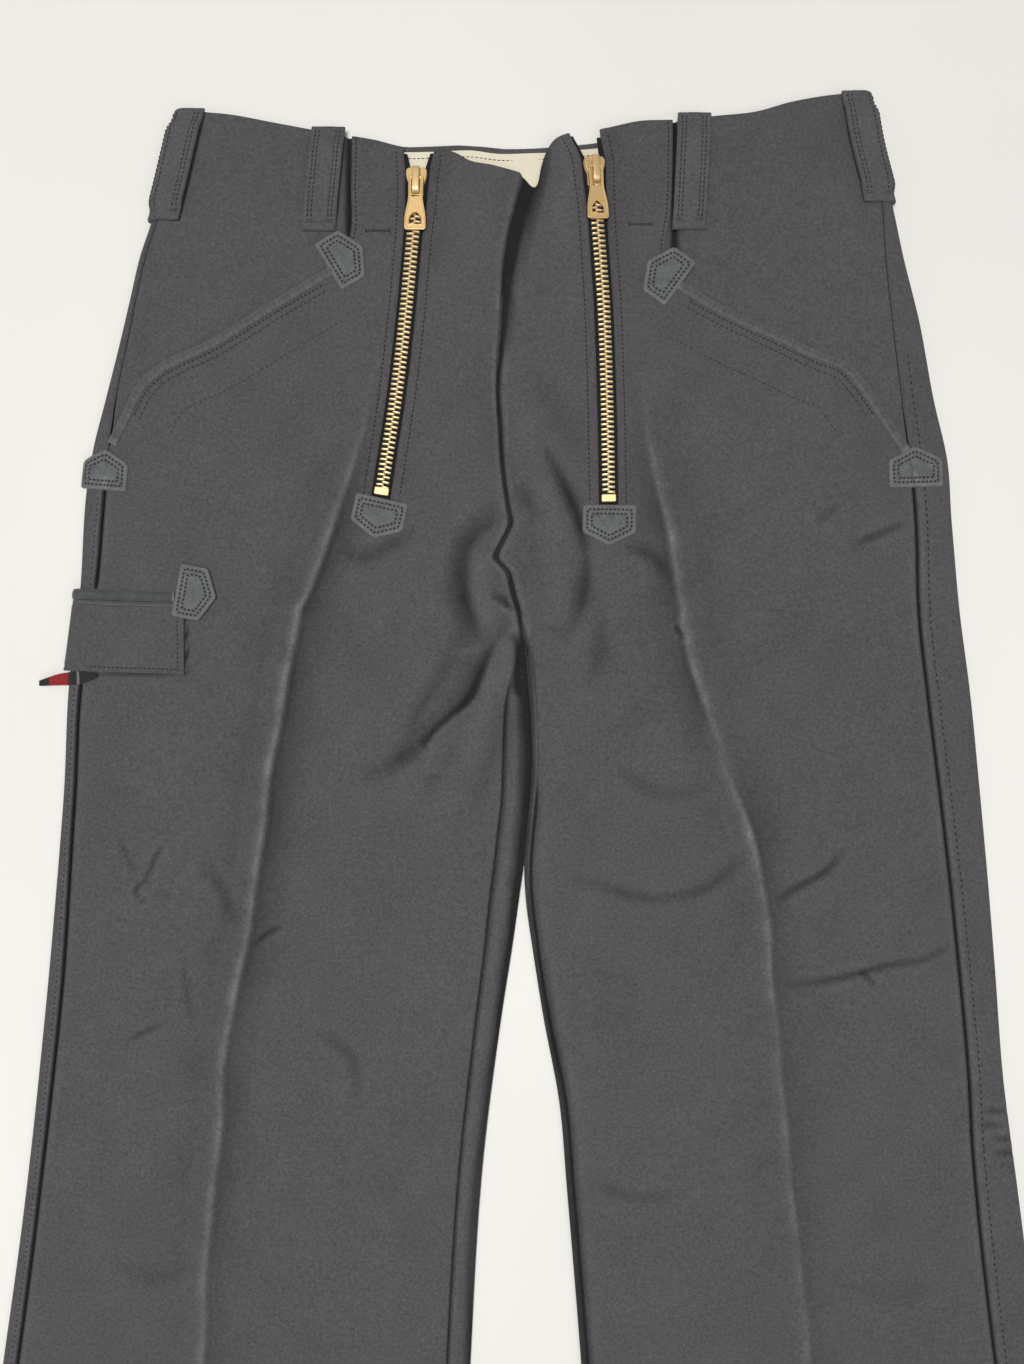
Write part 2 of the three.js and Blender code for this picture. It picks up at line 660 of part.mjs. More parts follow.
function beltLoop(loop) {
  const leg = SIDES[loop.leg];
  const steps = shares(12);
  const layer = (up) =>
    steps.map((share) => {
      const along = share * loop.length;
      const free = smooth(along, LOOP_SEWN, LOOP_SEWN + 8);
      const fall = smooth(loop.length - along, LOOP_SEWN, LOOP_SEWN + 8);
      const lift = loop.on + SEAM_GAP + LOOP_ARCH * free * fall + up;
      const drop = loop.top + along;
      return (loop.x ? LOOP_COLUMNS : LOOP_COLUMNS_ROUND_FOLD).map((part) => {
        if (loop.x) {
          return onFront(mix(loop.x[0], loop.x[1], share) + part * LOOP_WIDTH, drop, lift);
        }
        const inwards = mix(loop.inwards[0], loop.inwards[1], share) + part * LOOP_WIDTH;
        return onCloth(outerFold(leg, drop), leg.sign, inwards, drop, lift);
      });
    });
  return sheetBetween(layer(LOOP_THICK), layer(0));
}

// A leather patch has the outline of a small house. x and drop are the middle of its floor and
// turn is the way that its roof points, in degrees from the waist towards +X. One of them
// goes round the side fold, and round is its width there.
const PATCHES = [
  { name: "patch_pocket_top_right", leg: "right", x: -110.1, drop: 95.1, turn: 59 },
  { name: "patch_pocket_top_left", leg: "left", x: 101, drop: 105.3, turn: -54 },
  { name: "patch_pocket_side_right", leg: "right", x: -243.4, drop: 228.2, turn: 5, round: 27 },
  { name: "patch_pocket_side_left", leg: "left", x: 241.8, drop: 226.5, turn: -1.5 },
  { name: "patch_zip_right", leg: "right", x: -77.4, drop: 233.4, turn: 192.5 },
  { name: "patch_zip_left", leg: "left", x: 58.5, drop: 237.2, turn: 180.8 },
  { name: "patch_rule_pocket", leg: "right", x: -200.7, drop: 287.7, turn: 96, over: TUCK },
];
const PATCH_COLUMNS_ROUND_FOLD = [0, 0.06, 0.12, 0.18, 0.25, 0.37, 0.5, 0.75, 1];

function leatherPatch(patch) {
  const leg = SIDES[patch.leg];
  const turn = THREE.MathUtils.degToRad(patch.turn);
  const layer = (up) =>
    shares(4).map((share) =>
      (patch.round ? PATCH_COLUMNS_ROUND_FOLD : shares(6)).map((part) => {
        const across = (part - 0.5) * (patch.round ?? PATCH_WIDTH);
        const roof = (PATCH_HEIGHT - PATCH_WALL) * (1 - Math.abs(2 * part - 1));
        const along = share * (PATCH_WALL + roof);
        const x = patch.x + across * Math.cos(turn) + along * Math.sin(turn);
        const drop = patch.drop + across * Math.sin(turn) - along * Math.cos(turn);
        return onGarment(leg, x, drop, SEAM_GAP + (patch.over ?? 0) + up);
      }),
    );
  return sheetBetween(layer(LEATHER), layer(0));
}

// A leather binding along a pocket mouth. Its section is given outwards from the panel's edge
// and up from the panel, for the outer and the inner face of the leather.
const PIPING_OUTER = [
  { out: -5, up: 1.3 },
  { out: 0.2, up: 1.6 },
  { out: 1.4, up: 1.0 },
  { out: 1.7, up: -0.7 },
];
const PIPING_INNER = [
  { out: -5, up: 0.3 },
  { out: 0, up: 0.4 },
  { out: 0.35, up: 0.2 },
  { out: 0.45, up: -0.8 },
];

// Points at even steps along a table of x and drop, each with the direction outwards.
function pathAlong(table, steps, towards) {
  const path = new THREE.CatmullRomCurve3(
    table.map((p) => new THREE.Vector3(p.x, p.drop, 0)),
    false,
    "centripetal",
  );
  return shares(steps).map((share) => {
    const point = path.getPointAt(share);
    const along = path.getTangentAt(share);
    return { x: point.x, drop: point.y, outX: towards * along.y, outDrop: -towards * along.x };
  });
}

function pocketPiping(leg) {
  const end = leg.mouth.length - 1;
  const start = leg.mouth[MOUTH_BEND];
  const first = { x: start.x + leg.sign * 2.5, drop: start.drop + 1.6 };
  const last = { x: leg.mouth[end].x - leg.sign * 3, drop: leg.mouth[end].drop - 6 };
  const table = [first, ...leg.mouth.slice(MOUTH_BEND + 1, end), last];
  const layer = (section) =>
    pathAlong(table, 22, leg.sign).map((p) =>
      section.map(({ out, up }) => onGarment(leg, p.x + p.outX * out, p.drop + p.outDrop * out, up)),
    );
  return sheetBetween(layer(PIPING_OUTER), layer(PIPING_INNER));
}

// The narrow pocket for a folding rule on the right thigh, and the binding along its mouth.
// Both run round the side fold, and past is how far beyond its outermost place they reach.
const RULE_POCKET = { past: 3, right: -196.5, top: 298.6, bottom: 338.2 };
const RULE_PIPING = { past: 2.6, right: -204.6, top: 289.5, bottom: 298.2 };
const LEG_PATCH_COLUMNS = [0, 0.022, 0.044, 0.066, 0.1, 0.2, 0.35, 0.5, 0.65, 0.83, 1];

function patchOnLeg(leg, area, thick) {
  const layer = (up) =>
    shares(4).map((share) =>
      LEG_PATCH_COLUMNS.map((part) => {
        const drop = mix(area.top, area.bottom, share);
        const left = outerFold(leg, drop) + leg.sign * area.past;
        return onGarment(leg, mix(left, area.right, part), drop, SEAM_GAP + up);
      }),
    );
  return sheetBetween(layer(thick), layer(0));
}

// The small woven label below the rule pocket: how far out from its root it reaches, how high
// it lies, and the drops of its two edges.
const LABEL = [
  { x: -249, up: 0.3, top: 339.2, bottom: 342.6 },
  { x: -256, up: 0.3, top: 338.9, bottom: 344.4 },
  { x: -262.5, up: 0.3, top: 338.8, bottom: 345 },
  { x: -272.5, z: 4.2, top: 339.6, bottom: 345 },
  { x: -285.5, z: 1.6, top: 341.6, bottom: 345.2 },
];
const LABEL_THICK = 1.0;

function ruleLabel(leg) {
  const layer = (up) =>
    LABEL.map((row) =>
      shares(2).map((part) => {
        const drop = mix(row.top, row.bottom, part);
        if (row.z !== undefined) return new THREE.Vector3(row.x, -drop, row.z + up);
        return onGarment(leg, row.x, drop, row.up + up);
      }),
    );
  return sheetBetween(layer(LABEL_THICK), layer(0));
}

// A strip that follows a zip, between two offsets from the middle of its chain.
function zipStrip(leg, from, to, fromDrop, toDrop, foot, top, steps) {
  const layer = (lift) =>
    shares(steps).map((share) => {
      const drop = mix(fromDrop, toDrop, share);
      const middle = curve(leg.zip, "drop", "x", drop);
      return [from, (from + to) / 2, to].map((step) => onFront(middle + step, drop, lift));
    });
  return sheetBetween(layer(top), layer(foot));
}

// Along a zip the slider's own place is its pull's axis. along points down the zip, across
// to +X, and the slider's frame has them as -Y and +X with its foot on the cloth.
function sliderFrame(leg) {
  const drop = leg.sliderDrop;
  const at = (d) => onFront(curve(leg.zip, "drop", "x", d), d, 0);
  const along = at(drop + SLIDER_BACK).sub(at(drop - SLIDER_FRONT)).normalize();
  const side = onFront(curve(leg.zip, "drop", "x", drop) + 5, drop, 0);
  const across = side.sub(onFront(curve(leg.zip, "drop", "x", drop) - 5, drop, 0)).normalize();
  const up = new THREE.Vector3().crossVectors(along, across).normalize();
  const right = new THREE.Vector3().crossVectors(along.clone().negate(), up).normalize();
  const basis = new THREE.Matrix4().makeBasis(right, along.clone().negate(), up);
  return { position: at(drop), quaternion: new THREE.Quaternion().setFromRotationMatrix(basis) };
}

const AXIS_UP = SLIDER_TOP + PULL_CLEAR + PULL_THICK / 2;

function sliderBody() {
  const wide = SLIDER_WIDE / 2;
  const narrow = SLIDER_NARROW / 2;
  const plan = new THREE.Shape();
  plan.moveTo(-wide * 0.55, SLIDER_FRONT);
  plan.quadraticCurveTo(-wide, SLIDER_FRONT, -wide, SLIDER_FRONT - 4.5);
  plan.quadraticCurveTo(-wide, SLIDER_FRONT - 7, -narrow, SLIDER_FRONT - 10);
  plan.lineTo(-narrow, 1.5 - SLIDER_BACK);
  plan.quadraticCurveTo(-narrow, -SLIDER_BACK, 1.5 - narrow, -SLIDER_BACK);
  plan.lineTo(narrow - 1.5, -SLIDER_BACK);
  plan.quadraticCurveTo(narrow, -SLIDER_BACK, narrow, 1.5 - SLIDER_BACK);
  plan.lineTo(narrow, SLIDER_FRONT - 10);
  plan.quadraticCurveTo(wide, SLIDER_FRONT - 7, wide, SLIDER_FRONT - 4.5);
  plan.quadraticCurveTo(wide, SLIDER_FRONT, wide * 0.55, SLIDER_FRONT);
  const plate = new THREE.ExtrudeGeometry(plan, {
    depth: SLIDER_TOP + CLOTH,
    bevelEnabled: false,
    curveSegments: 4,
  });
  plate.translate(0, 0, -CLOTH);

  // The bail's side view: an arch that the pull's bar lies under.
  const inside = AXIS_UP + PULL_THICK / 2 + PULL_CLEAR;
  const arch = (front, back, top, foot) => [
    new THREE.Vector2(front, foot),
    new THREE.Vector2(front, top - 1.6),
    new THREE.Vector2(front - 1.6, top),
    new THREE.Vector2(back + 2.4, top),
    new THREE.Vector2(back, top - 1.8),
    new THREE.Vector2(back, foot),
  ];
  const outer = arch(SLIDER_FRONT - 0.3, 0.3 - SLIDER_BACK, inside + BAIL_BAR, SLIDER_TOP - 0.5);
  const inner = arch(
    SLIDER_FRONT - 0.3 - BAIL_BAR,
    0.3 - SLIDER_BACK + BAIL_BAR,
    inside,
    SLIDER_TOP - 0.5,
  );
  const bow = new THREE.ExtrudeGeometry(new THREE.Shape([...outer, ...inner.reverse()]), {
    depth: BAIL_WIDTH,
    bevelEnabled: false,
  });
  bow.translate(0, 0, -BAIL_WIDTH / 2);
  const basis = new THREE.Matrix4().makeBasis(
    new THREE.Vector3(0, 1, 0),
    new THREE.Vector3(0, 0, 1),
    new THREE.Vector3(1, 0, 0),
  );
  bow.applyMatrix4(basis);
  return geometryOf(solidOf(plate).add(solidOf(bow)));
}

// The pull lies in its own XY plane with its axis along X and its tip towards -Y.
const PULL_SLOT = 11.2; // how far its neck is open, so that it can swing round the bail
const PULL_SLOT_WIDTH = BAIL_WIDTH + 1;
const PULL_WINDOW = { width: 7, from: 20.2, spring: 24, to: 27.6 };

function pullTab() {
  const bar = PULL_THICK / 2;
  const neck = PULL_NECK / 2;
  const tip = PULL_TIP / 2;
  const end = bar - PULL_LENGTH;
  const plan = new THREE.Shape();
  plan.moveTo(-neck, bar);
  plan.lineTo(-neck, -PULL_SLOT - 1);
  plan.bezierCurveTo(-neck, -17, -tip, -19, -tip, -23);
  plan.lineTo(-tip, end + 1.5);
  plan.quadraticCurveTo(-tip, end, 1.5 - tip, end);
  plan.lineTo(tip - 1.5, end);
  plan.quadraticCurveTo(tip, end, tip, end + 1.5);
  plan.lineTo(tip, -23);
  plan.bezierCurveTo(tip, -19, neck, -17, neck, -PULL_SLOT - 1);
  plan.lineTo(neck, bar);
  const slot = new THREE.Path();
  const half = PULL_SLOT_WIDTH / 2;
  slot.moveTo(-half, -bar);
  slot.lineTo(half, -bar);
  slot.lineTo(half, -PULL_SLOT);
  slot.lineTo(-half, -PULL_SLOT);
  slot.lineTo(-half, -bar);
  const window = new THREE.Path();
  const side = PULL_WINDOW.width / 2;
  window.moveTo(-side, -PULL_WINDOW.to);
  window.lineTo(-side, -PULL_WINDOW.spring);
  window.quadraticCurveTo(-side, -PULL_WINDOW.from - 1, 0, -PULL_WINDOW.from);
  window.quadraticCurveTo(side, -PULL_WINDOW.from - 1, side, -PULL_WINDOW.spring);
  window.lineTo(side, -PULL_WINDOW.to);
  window.lineTo(-side, -PULL_WINDOW.to);
  plan.holes.push(slot, window);
  const plate = new THREE.ExtrudeGeometry(plan, {
    depth: PULL_THICK,
    bevelEnabled: false,
    curveSegments: 5,
  });
  return geometryOf(solidOf(plate.translate(0, 0, -PULL_THICK / 2)));
}

const finish = (color, roughness, metalness = 0) => {
  const material = new THREE.MeshStandardMaterial({ color, roughness, metalness });
  material.side = THREE.DoubleSide;
  return material;
};
const moleskin = finish(0x1c1b1d, 0.9);
const leather = finish(0x232427, 0.6);
const lining = finish(0xb9a98c, 0.9);
const tapeWeave = finish(0x141416, 0.85);
const brass = finish(0xb78b4a, 0.32, 1);
const labelWeave = finish(0x5a1a1c, 0.8);

const trousers = new THREE.Group();
const add = (name, geometry, material, parent = trousers) => {
  const mesh = new THREE.Mesh(geometry, material);
  mesh.name = name;
  parent.add(mesh);
  return mesh;
};

for (const [name, leg] of Object.entries(SIDES)) {
  add(`front_${name}`, frontPanel(leg), moleskin);
  add(`back_${name}`, backPanel(leg), moleskin);
  add(`pocket_facing_${name}`, pocketFacing(leg), moleskin);
  add(`pocket_piping_${name}`, pocketPiping(leg), leather);

  const zipEnd = leg.zip[leg.zip.length - 1].drop;
  const half = TAPE_WIDTH / 2;
  const gap = SEAM_GAP / 2;
  const tapeTop = -TUCK - 2 * SEAM_GAP;
  const tapeFoot = tapeTop - TAPE_THICK;
  const tape = (from, to) =>
    zipStrip(leg, from, to, leg.sliderDrop - 6, zipEnd + 5, tapeFoot, tapeTop, 16);
  add(`zip_${name}_tape_inner`, leg.sign < 0 ? tape(gap, half) : tape(-half, -gap), tapeWeave);
  add(`zip_${name}_tape_outer`, leg.sign < 0 ? tape(-half, -gap) : tape(gap, half), tapeWeave);

  const stopTop = zipEnd - STOP_LENGTH - 1.6;
  const chainFoot = tapeTop + SEAM_GAP;
  const chainHalf = CHAIN_WIDTH / 2;
  const chainTop = leg.sliderDrop + SLIDER_BACK + 2 * SEAM_GAP;
  const chain = zipStrip(
    leg,
    -chainHalf,
    chainHalf,
    chainTop,
    stopTop - SEAM_GAP,
    chainFoot,
    CHAIN_TOP,
    20,
  );
  add(`zip_${name}_chain`, chain, brass);
  const wide = STOP_WIDTH / 2;
  const stop = zipStrip(leg, -wide, wide, stopTop, stopTop + STOP_LENGTH, chainFoot, CHAIN_TOP + 0.4, 2);
  add(`zip_${name}_stop`, stop, brass);

  const carriage = new THREE.Group();
  const frame = sliderFrame(leg);
  carriage.position.copy(frame.position);
  carriage.quaternion.copy(frame.quaternion);
  add(`zip_${name}_slider`, sliderBody(), brass, carriage);
  const pull = add(`zip_${name}_pull`, pullTab(), brass, carriage);
  pull.position.z = AXIS_UP;
  pull.rotation.x = THREE.MathUtils.degToRad(PULL_REST_TILT);
  trousers.add(carriage);
}
add("waist_lining", waistLining(), lining);
for (const loop of LOOPS) add(loop.name, beltLoop(loop), moleskin);
for (const patch of PATCHES) add(patch.name, leatherPatch(patch), leather);
add("rule_pocket", patchOnLeg(SIDES.right, RULE_POCKET, CLOTH), moleskin);
add("rule_pocket_piping", patchOnLeg(SIDES.right, RULE_PIPING, LEATHER + 0.4), leather);
add("rule_pocket_label", ruleLabel(SIDES.right), labelWeave);

// The middle of the laid-out garment is brought over the origin.
const CENTRE = { x: 7.7, drop: 566.9 };
trousers.position.set(-CENTRE.x, CENTRE.drop, 0);

export default trousers;
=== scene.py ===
"""Black guild carpenter's trousers laid flat on their back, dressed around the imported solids.

Sizes are in millimetres unless a property says otherwise. A place on the garment is given as a
tailor would: x across from the middle of the front, and drop, the distance down from the waist.
"""

import json
import math

import bpy
import numpy as np
from bpy.props import FloatProperty, FloatVectorProperty, PointerProperty
from mathutils import Matrix, Vector


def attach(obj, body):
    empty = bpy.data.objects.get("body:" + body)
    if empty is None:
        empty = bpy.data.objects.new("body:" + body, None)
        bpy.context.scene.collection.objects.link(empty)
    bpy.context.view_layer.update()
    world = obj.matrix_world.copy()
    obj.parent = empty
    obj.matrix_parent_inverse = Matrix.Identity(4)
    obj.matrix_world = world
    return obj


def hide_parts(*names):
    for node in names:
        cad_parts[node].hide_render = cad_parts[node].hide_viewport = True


bl_info = {
    "name": "Guild carpenter's trousers",
    "version": (1, 0, 0),
    "blender": (4, 5, 0),
    "location": "View3D > Sidebar > Trousers",
    "description": "Builds laid-out carpenter's trousers piece by piece",
    "category": "Add Mesh",
}

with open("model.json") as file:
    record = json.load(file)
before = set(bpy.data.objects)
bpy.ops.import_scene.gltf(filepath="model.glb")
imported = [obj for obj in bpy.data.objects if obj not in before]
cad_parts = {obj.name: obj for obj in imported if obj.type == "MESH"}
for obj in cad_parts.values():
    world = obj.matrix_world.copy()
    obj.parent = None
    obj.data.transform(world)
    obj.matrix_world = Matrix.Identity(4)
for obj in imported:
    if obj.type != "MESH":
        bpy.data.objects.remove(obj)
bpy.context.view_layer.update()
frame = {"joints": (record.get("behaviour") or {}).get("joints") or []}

# Where the tailor's zero lies in the frame
CENTRE_X = 7.7
CENTRE_DROP = 566.9

# Cloth and leather
CLOTH = 1.2
SEAM_GAP = 0.3
TUCK = CLOTH + SEAM_GAP
LINING = 1.0
LEG_HEIGHT = 5.6
HIP_HEIGHT = 7.4
HIP_END = 255
LEG_START = 335
ROLL = 3.5
HEM = 1144
WAIST_FADE = 150
HEM_FADE = 300
HEM_SLANT = 0.075
FORK = 301
LEGS_PARTED = 326

PATCH_WIDTH = 32
PATCH_HEIGHT = 24.5
PATCH_WALL = 16.5
LOOP_WIDTH = 20
LOOP_THICK = 2.2
LOOP_ARCH = 2.2
LOOP_SEWN = 5
TAPE_WIDTH = 30
SLIDER_FRONT = 7
SLIDER_BACK = 9.6
SLIDER_TOP = 2.2
BAIL_WIDTH = 4.2
PULL_THICK = 1.6
PULL_LENGTH = 31.6
PULL_CLEAR = 0.5
PULL_REST_TILT = 1.1
AXIS_UP = SLIDER_TOP + PULL_CLEAR + PULL_THICK / 2


class Table:
    """Rows of named columns, read as smooth curves over the first column."""

    def __init__(self, columns, *rows):
        self.names = columns.split()
        self.data = np.array(rows, float)

    def column(self, name):
        return self.data[:, self.names.index(name)]

    def at(self, name, key):
        x, y = self.data[:, 0], self.column(name)
        key = np.asarray(key, float)
        i = np.clip(np.searchsorted(x, key) - 1, 0, len(x) - 2)
        secant = np.diff(y) / np.diff(x)
        slope = np.concatenate([secant[:1], (secant[1:] + secant[:-1]) / 2, secant[-1:]])
        span = x[i + 1] - x[i]
        run = (key - x[i]) / span
        t = np.clip(run, 0, 1)
        bend = t * t * (3 - 2 * t)
        inside = y[i] * (1 - bend) + y[i + 1] * bend
        inside += slope[i] * span * t * (1 - t) ** 2 - slope[i + 1] * span * t * t * (1 - t)
        before = slope[i] * span * np.minimum(run, 0)
        after = slope[i + 1] * span * np.maximum(run - 1, 0)
        return inside + before + after


def path_points(points, step):
    """Evenly spaced points on a smooth path, and the way that it runs at each of them."""
    points = np.array(points, float)
    lengths = np.concatenate([[0], np.cumsum(np.linalg.norm(np.diff(points, axis=0), axis=1))])
    rows = np.column_stack([lengths, points])
    table = Table("length x drop", *rows)
    count = max(2, int(round(lengths[-1] / step)) + 1)
    at = np.linspace(0, lengths[-1], count)

    def there(length):
        return np.stack([table.at("x", length), table.at("drop", length)], -1)

    way = there(np.minimum(at + 0.3, lengths[-1])) - there(np.maximum(at - 0.3, 0))
    way /= np.linalg.norm(way, axis=1, keepdims=True)
    return at, there(at), way


# outer is the side fold, and strip the width of back panel that shows beside it.
RIGHT_SIDE = Table(
    "drop outer strip",
    (0, -200.5, 5), (67, -217, 4.5), (88, -224, 4.5), (114, -230, 4.5), (144, -237, 5.5),
    (174, -244.5, 7), (201, -251.5, 10), (228, -256, 12), (287, -260, 10.5), (344, -267, 8),
    (414, -270.5, 7.5), (522, -279.5, 9.5), (639, -291.5, 9), (752, -306.5, 9.5),
    (954, -335.5, 9.5), (HEM, -365, 11),
)
LEFT_SIDE = Table(
    "drop outer strip",
    (-11, 214, 5), (18, 219, 5.5), (55, 228.5, 7), (90, 236, 12), (126, 245, 17), (174, 254, 20),
    (210, 262, 23), (246, 264.5, 22.5), (300, 269.5, 25.5), (348, 276, 26.5), (414, 282.5, 25),
    (518, 291.5, 22.5), (581, 296, 21.5), (628, 302, 25), (752, 318.5, 28), (954, 350, 30),
    (HEM, 380, 32),
)
FRONT_SEAM = Table(
    "drop x",
    (43, 15.5), (54, 6), (66, 0), (82, -2.5), (111, -5.5), (166, -8.5), (217, -5.5), (240, -2.2),
    (247, -1.1), (249.5, -1.6), (265.5, -9.2), (268, -9.9), (270.5, -8.9), (276.5, -3), (279, -2),
    (290, 0.5), (301, 4),
)
RIGHT_INSIDE = Table(
    "drop fold strip",
    (300, 6.5, 4), (324, 8.4, 4), (339, 9.8, 9.5), (356, 11, 14.5), (390, 12.2, 17.5),
    (414, 11, 17.1), (434, 9, 17.5), (446, 7.9, 17.7), (452, 7.3, 17.8), (474, 4.3, 17.6),
    (502, 0.4, 16.6), (554, -7.6, 15), (639, -18, 14), (752, -25, 14), (954, -33.5, 14),
    (HEM, -42, 13),
)
LEFT_INSIDE = Table(
    "drop fold strip",
    (300, 6.5, 4), (324, 8.2, 4), (354, 10.9, 4), (390, 12, 4), (414, 10.8, 4), (434, 8.8, 4),
    (446, 7.7, 4.2), (452, 7.3, 4.2), (474, 8.2, 4), (502, 12, 3.4), (545, 18.8, 3.4),
    (597, 28.5, 4), (648, 33, 4), (752, 41.5, 4), (954, 55, 4), (HEM, 69, 4),
)
# A crease is steep on one side: right is the share of it that is steep towards the wearer's left.
RIGHT_CREASE = Table(
    "drop x height right",
    (150, -80, 0, 1), (182, -85.8, 0.6, 1), (211, -93.6, 1.6, 1), (240, -103.2, 2.8, 1),
    (266, -111.3, 3.4, 1), (290, -121, 4, 1), (299, -126, 4.4, 1), (310, -128.6, 4.2, 1),
    (332, -132.6, 4.2, 1), (368, -138.6, 4, 1), (407, -144.6, 3.8, 1), (436, -148.8, 3.6, 1),
    (476, -155.4, 3.6, 1), (514, -160.8, 3.4, 1), (563, -171, 2.8, 1), (603, -174.2, 2.4, 1),
    (643, -177.6, 2.4, 1), (692, -182, 2.2, 1), (751, -185.4, 2.2, 1), (HEM, -208, 2.2, 1),
)
LEFT_CREASE = Table(
    "drop x height right",
    (150, 75.5, 0, 0), (174, 78.2, 0.6, 0.2), (198, 80.6, 1.6, 0.2), (210, 82.6, 2.2, 0.15),
    (229, 87, 3, 0.1), (249, 92, 3.6, 0.1), (267, 95, 3.8, 0.1), (286, 98.1, 4, 0.1),
    (302, 100, 4, 0.1), (309, 99.5, 3.4, 0), (316, 101.8, 3.4, 0), (330, 105.5, 3.6, 0),
    (345, 110.4, 3.4, 0), (360, 115.4, 3.2, 0.1), (374, 121.2, 2.8, 0.3), (390, 127.4, 2.6, 0.5),
    (419, 138.7, 2.6, 0.85), (442, 146, 2.6, 1), (463, 150, 2.4, 1), (487, 153.4, 2.2, 1),
    (520, 156.8, 2, 1), (552, 159.8, 1.7, 1), (584, 162.2, 1.5, 1), (616, 164.6, 1.4, 1),
    (659, 169.8, 1.4, 1), (704, 175.2, 1.4, 1), (751, 177.8, 1.4, 1), (HEM, 203, 1.4, 1),
)
FRONT_WAIST = Table(
    "x drop",
    (-205, 0), (-170, 2.4), (-140, 8), (-100, 15), (-82, 18), (-66, 22), (-44, 23.5),
    (-34, 26.5), (-25, 32), (-10, 35), (6.5, 39), (15.5, 43), (17.5, 33), (22, 22), (33, 15.5),
    (44, 14), (58, 11), (76, 7), (97, 6), (120, 3.3), (147, 0.4), (168, -5.5), (198, -10),
    (218, -10),
)
BACK_WAIST = Table(
    "x drop",
    (-205, 0), (-170, 4), (-120, 13), (-66, 19.6), (-25, 18.7), (-8, 20.7), (19, 20.2),
    (50, 17.4), (110, 8), (170, -4.5), (218, -10),
)
# fall and placket are how far from the middle of the chain the slot in the front reaches.
RIGHT_ZIP = Table(
    "drop x fall placket",
    (5, -55, 9, 9), (24, -56.3, 9.6, 8.9), (34, -57, 8, 7.2), (46, -57.2, 7, 6.9),
    (58, -57.7, 6.4, 6.4), (78, -59.5, 5.7, 5.8), (121, -63.5, 5.8, 5.8), (169, -69, 5.8, 5.8),
    (217, -76.2, 5.8, 5.8), (233, -78.6, 5.8, 5.8),
)
LEFT_ZIP = Table(
    "drop x fall placket",
    (-5, 46.5, 15, 5), (15, 47.8, 13.6, 5), (31, 48.8, 7.6, 7.2), (43, 49.5, 6.9, 7),
    (58, 50.3, 5.5, 6.8), (71, 51.3, 5.4, 6.2), (92, 53.1, 5.7, 5.9), (117, 54.9, 5.8, 5.8),
    (165, 56.6, 5.8, 5.8), (213, 57.6, 5.8, 5.8), (237, 58, 5.8, 5.8),
)
RIGHT_MOUTH = Table(
    "drop x",
    (-40, -96.5), (45, -96.5), (80, -98.5), (96.5, -110), (115, -141), (139, -180),
    (156, -213), (167, -224), (183, -232), (202, -241.5),
)
LEFT_MOUTH = Table(
    "drop x",
    (-40, 96.5), (58, 95.5), (90, 93), (106, 103), (120, 127), (134, 157), (146, 182),
    (153.5, 200), (164, 210), (180, 221), (206, 238),
)
MOUTH_BEND = 3
RULE_SLANT = 0.032  # how steeply the rule pocket rises towards the side
EDGE = 2.2  # the strip beside a cut edge that rolls down

# The groove at the seam of the front. x is where the right half's edge shows, share how far down
# to its floor it goes, sharp how soon the right half turns down into it and soft how soon the
# left half does.
GROOVE_FLOOR = 3.6
LOWEST = 2.9
GROOVE = Table(
    "drop x share sharp soft",
    (30, 8.4, 1, 1.2, 17), (41, 6.8, 1, 1.2, 16), (52, 4.1, 1, 1.2, 15), (70, -0.5, 0.98, 1.2, 13),
    (91, -4.2, 0.85, 1.2, 10), (107, -5.1, 0.65, 1.2, 7), (128, -5.8, 0.5, 1.1, 4.5),
    (150, -7.6, 0.45, 1, 2.6), (166, -8.5, 0.4, 1, 1.8), (190, -7.2, 0.4, 1, 1.5),
    (217, -5.5, 0.45, 1, 1.5), (240, -2.2, 0.55, 1, 1.6), (247, -1.1, 0.65, 1.1, 1.8),
    (249.5, -1.6, 0.7, 1.2, 1.8), (265.5, -9.2, 0.8, 1.4, 1.8), (268, -9.9, 0.8, 1.4, 1.8),
    (270.5, -8.9, 0.8, 1.4, 1.8), (276.5, -3, 0.8, 1.2, 1.8), (279, -2, 0.75, 1.2, 1.8),
    (290, 0.5, 0.7, 1.4, 2), (301, 4, 0.7, 1.6, 1.6), (325, 6, 0, 2, 2),
)

# Broad soft shapes of the front: half sizes across and along, and the way that they run in
# degrees from straight down.
PUFFS = Table(
    "x drop across along turn height",
    (-20, 58, 20, 48, 4, 4.4),  # right half of the fall
    (31, 48, 16, 52, -4, 5.0),  # left half of the fall
    (14, 205, 12, 54, -17, 2.4),
    (34, 258, 10, 36, -24, 1.9),
    (-18, 286, 9, 24, -6, 2.6),
    (-20, 372, 10, 44, 22, 2.6),
    (-44, 340, 10, 40, 26, -1.1),
    (44, 355, 20, 60, -10, 1.6),
    (-150, 60, 40, 40, 0, 0.7),
    (150, 70, 40, 45, 0, 0.8),
    (-170, 240, 30, 60, -20, 0.6),
    (180, 260, 35, 70, 10, 0.7),
    (-215, 420, 22, 70, 0, 0.8),
    (-90, 480, 26, 90, 10, -0.7),
    (60, 540, 26, 90, -8, -0.7),
    (220, 470, 24, 90, -6, 0.7),
    (-100, 640, 26, 80, 0, 0.6),
    (110, 660, 30, 90, 0, 0.6),
)

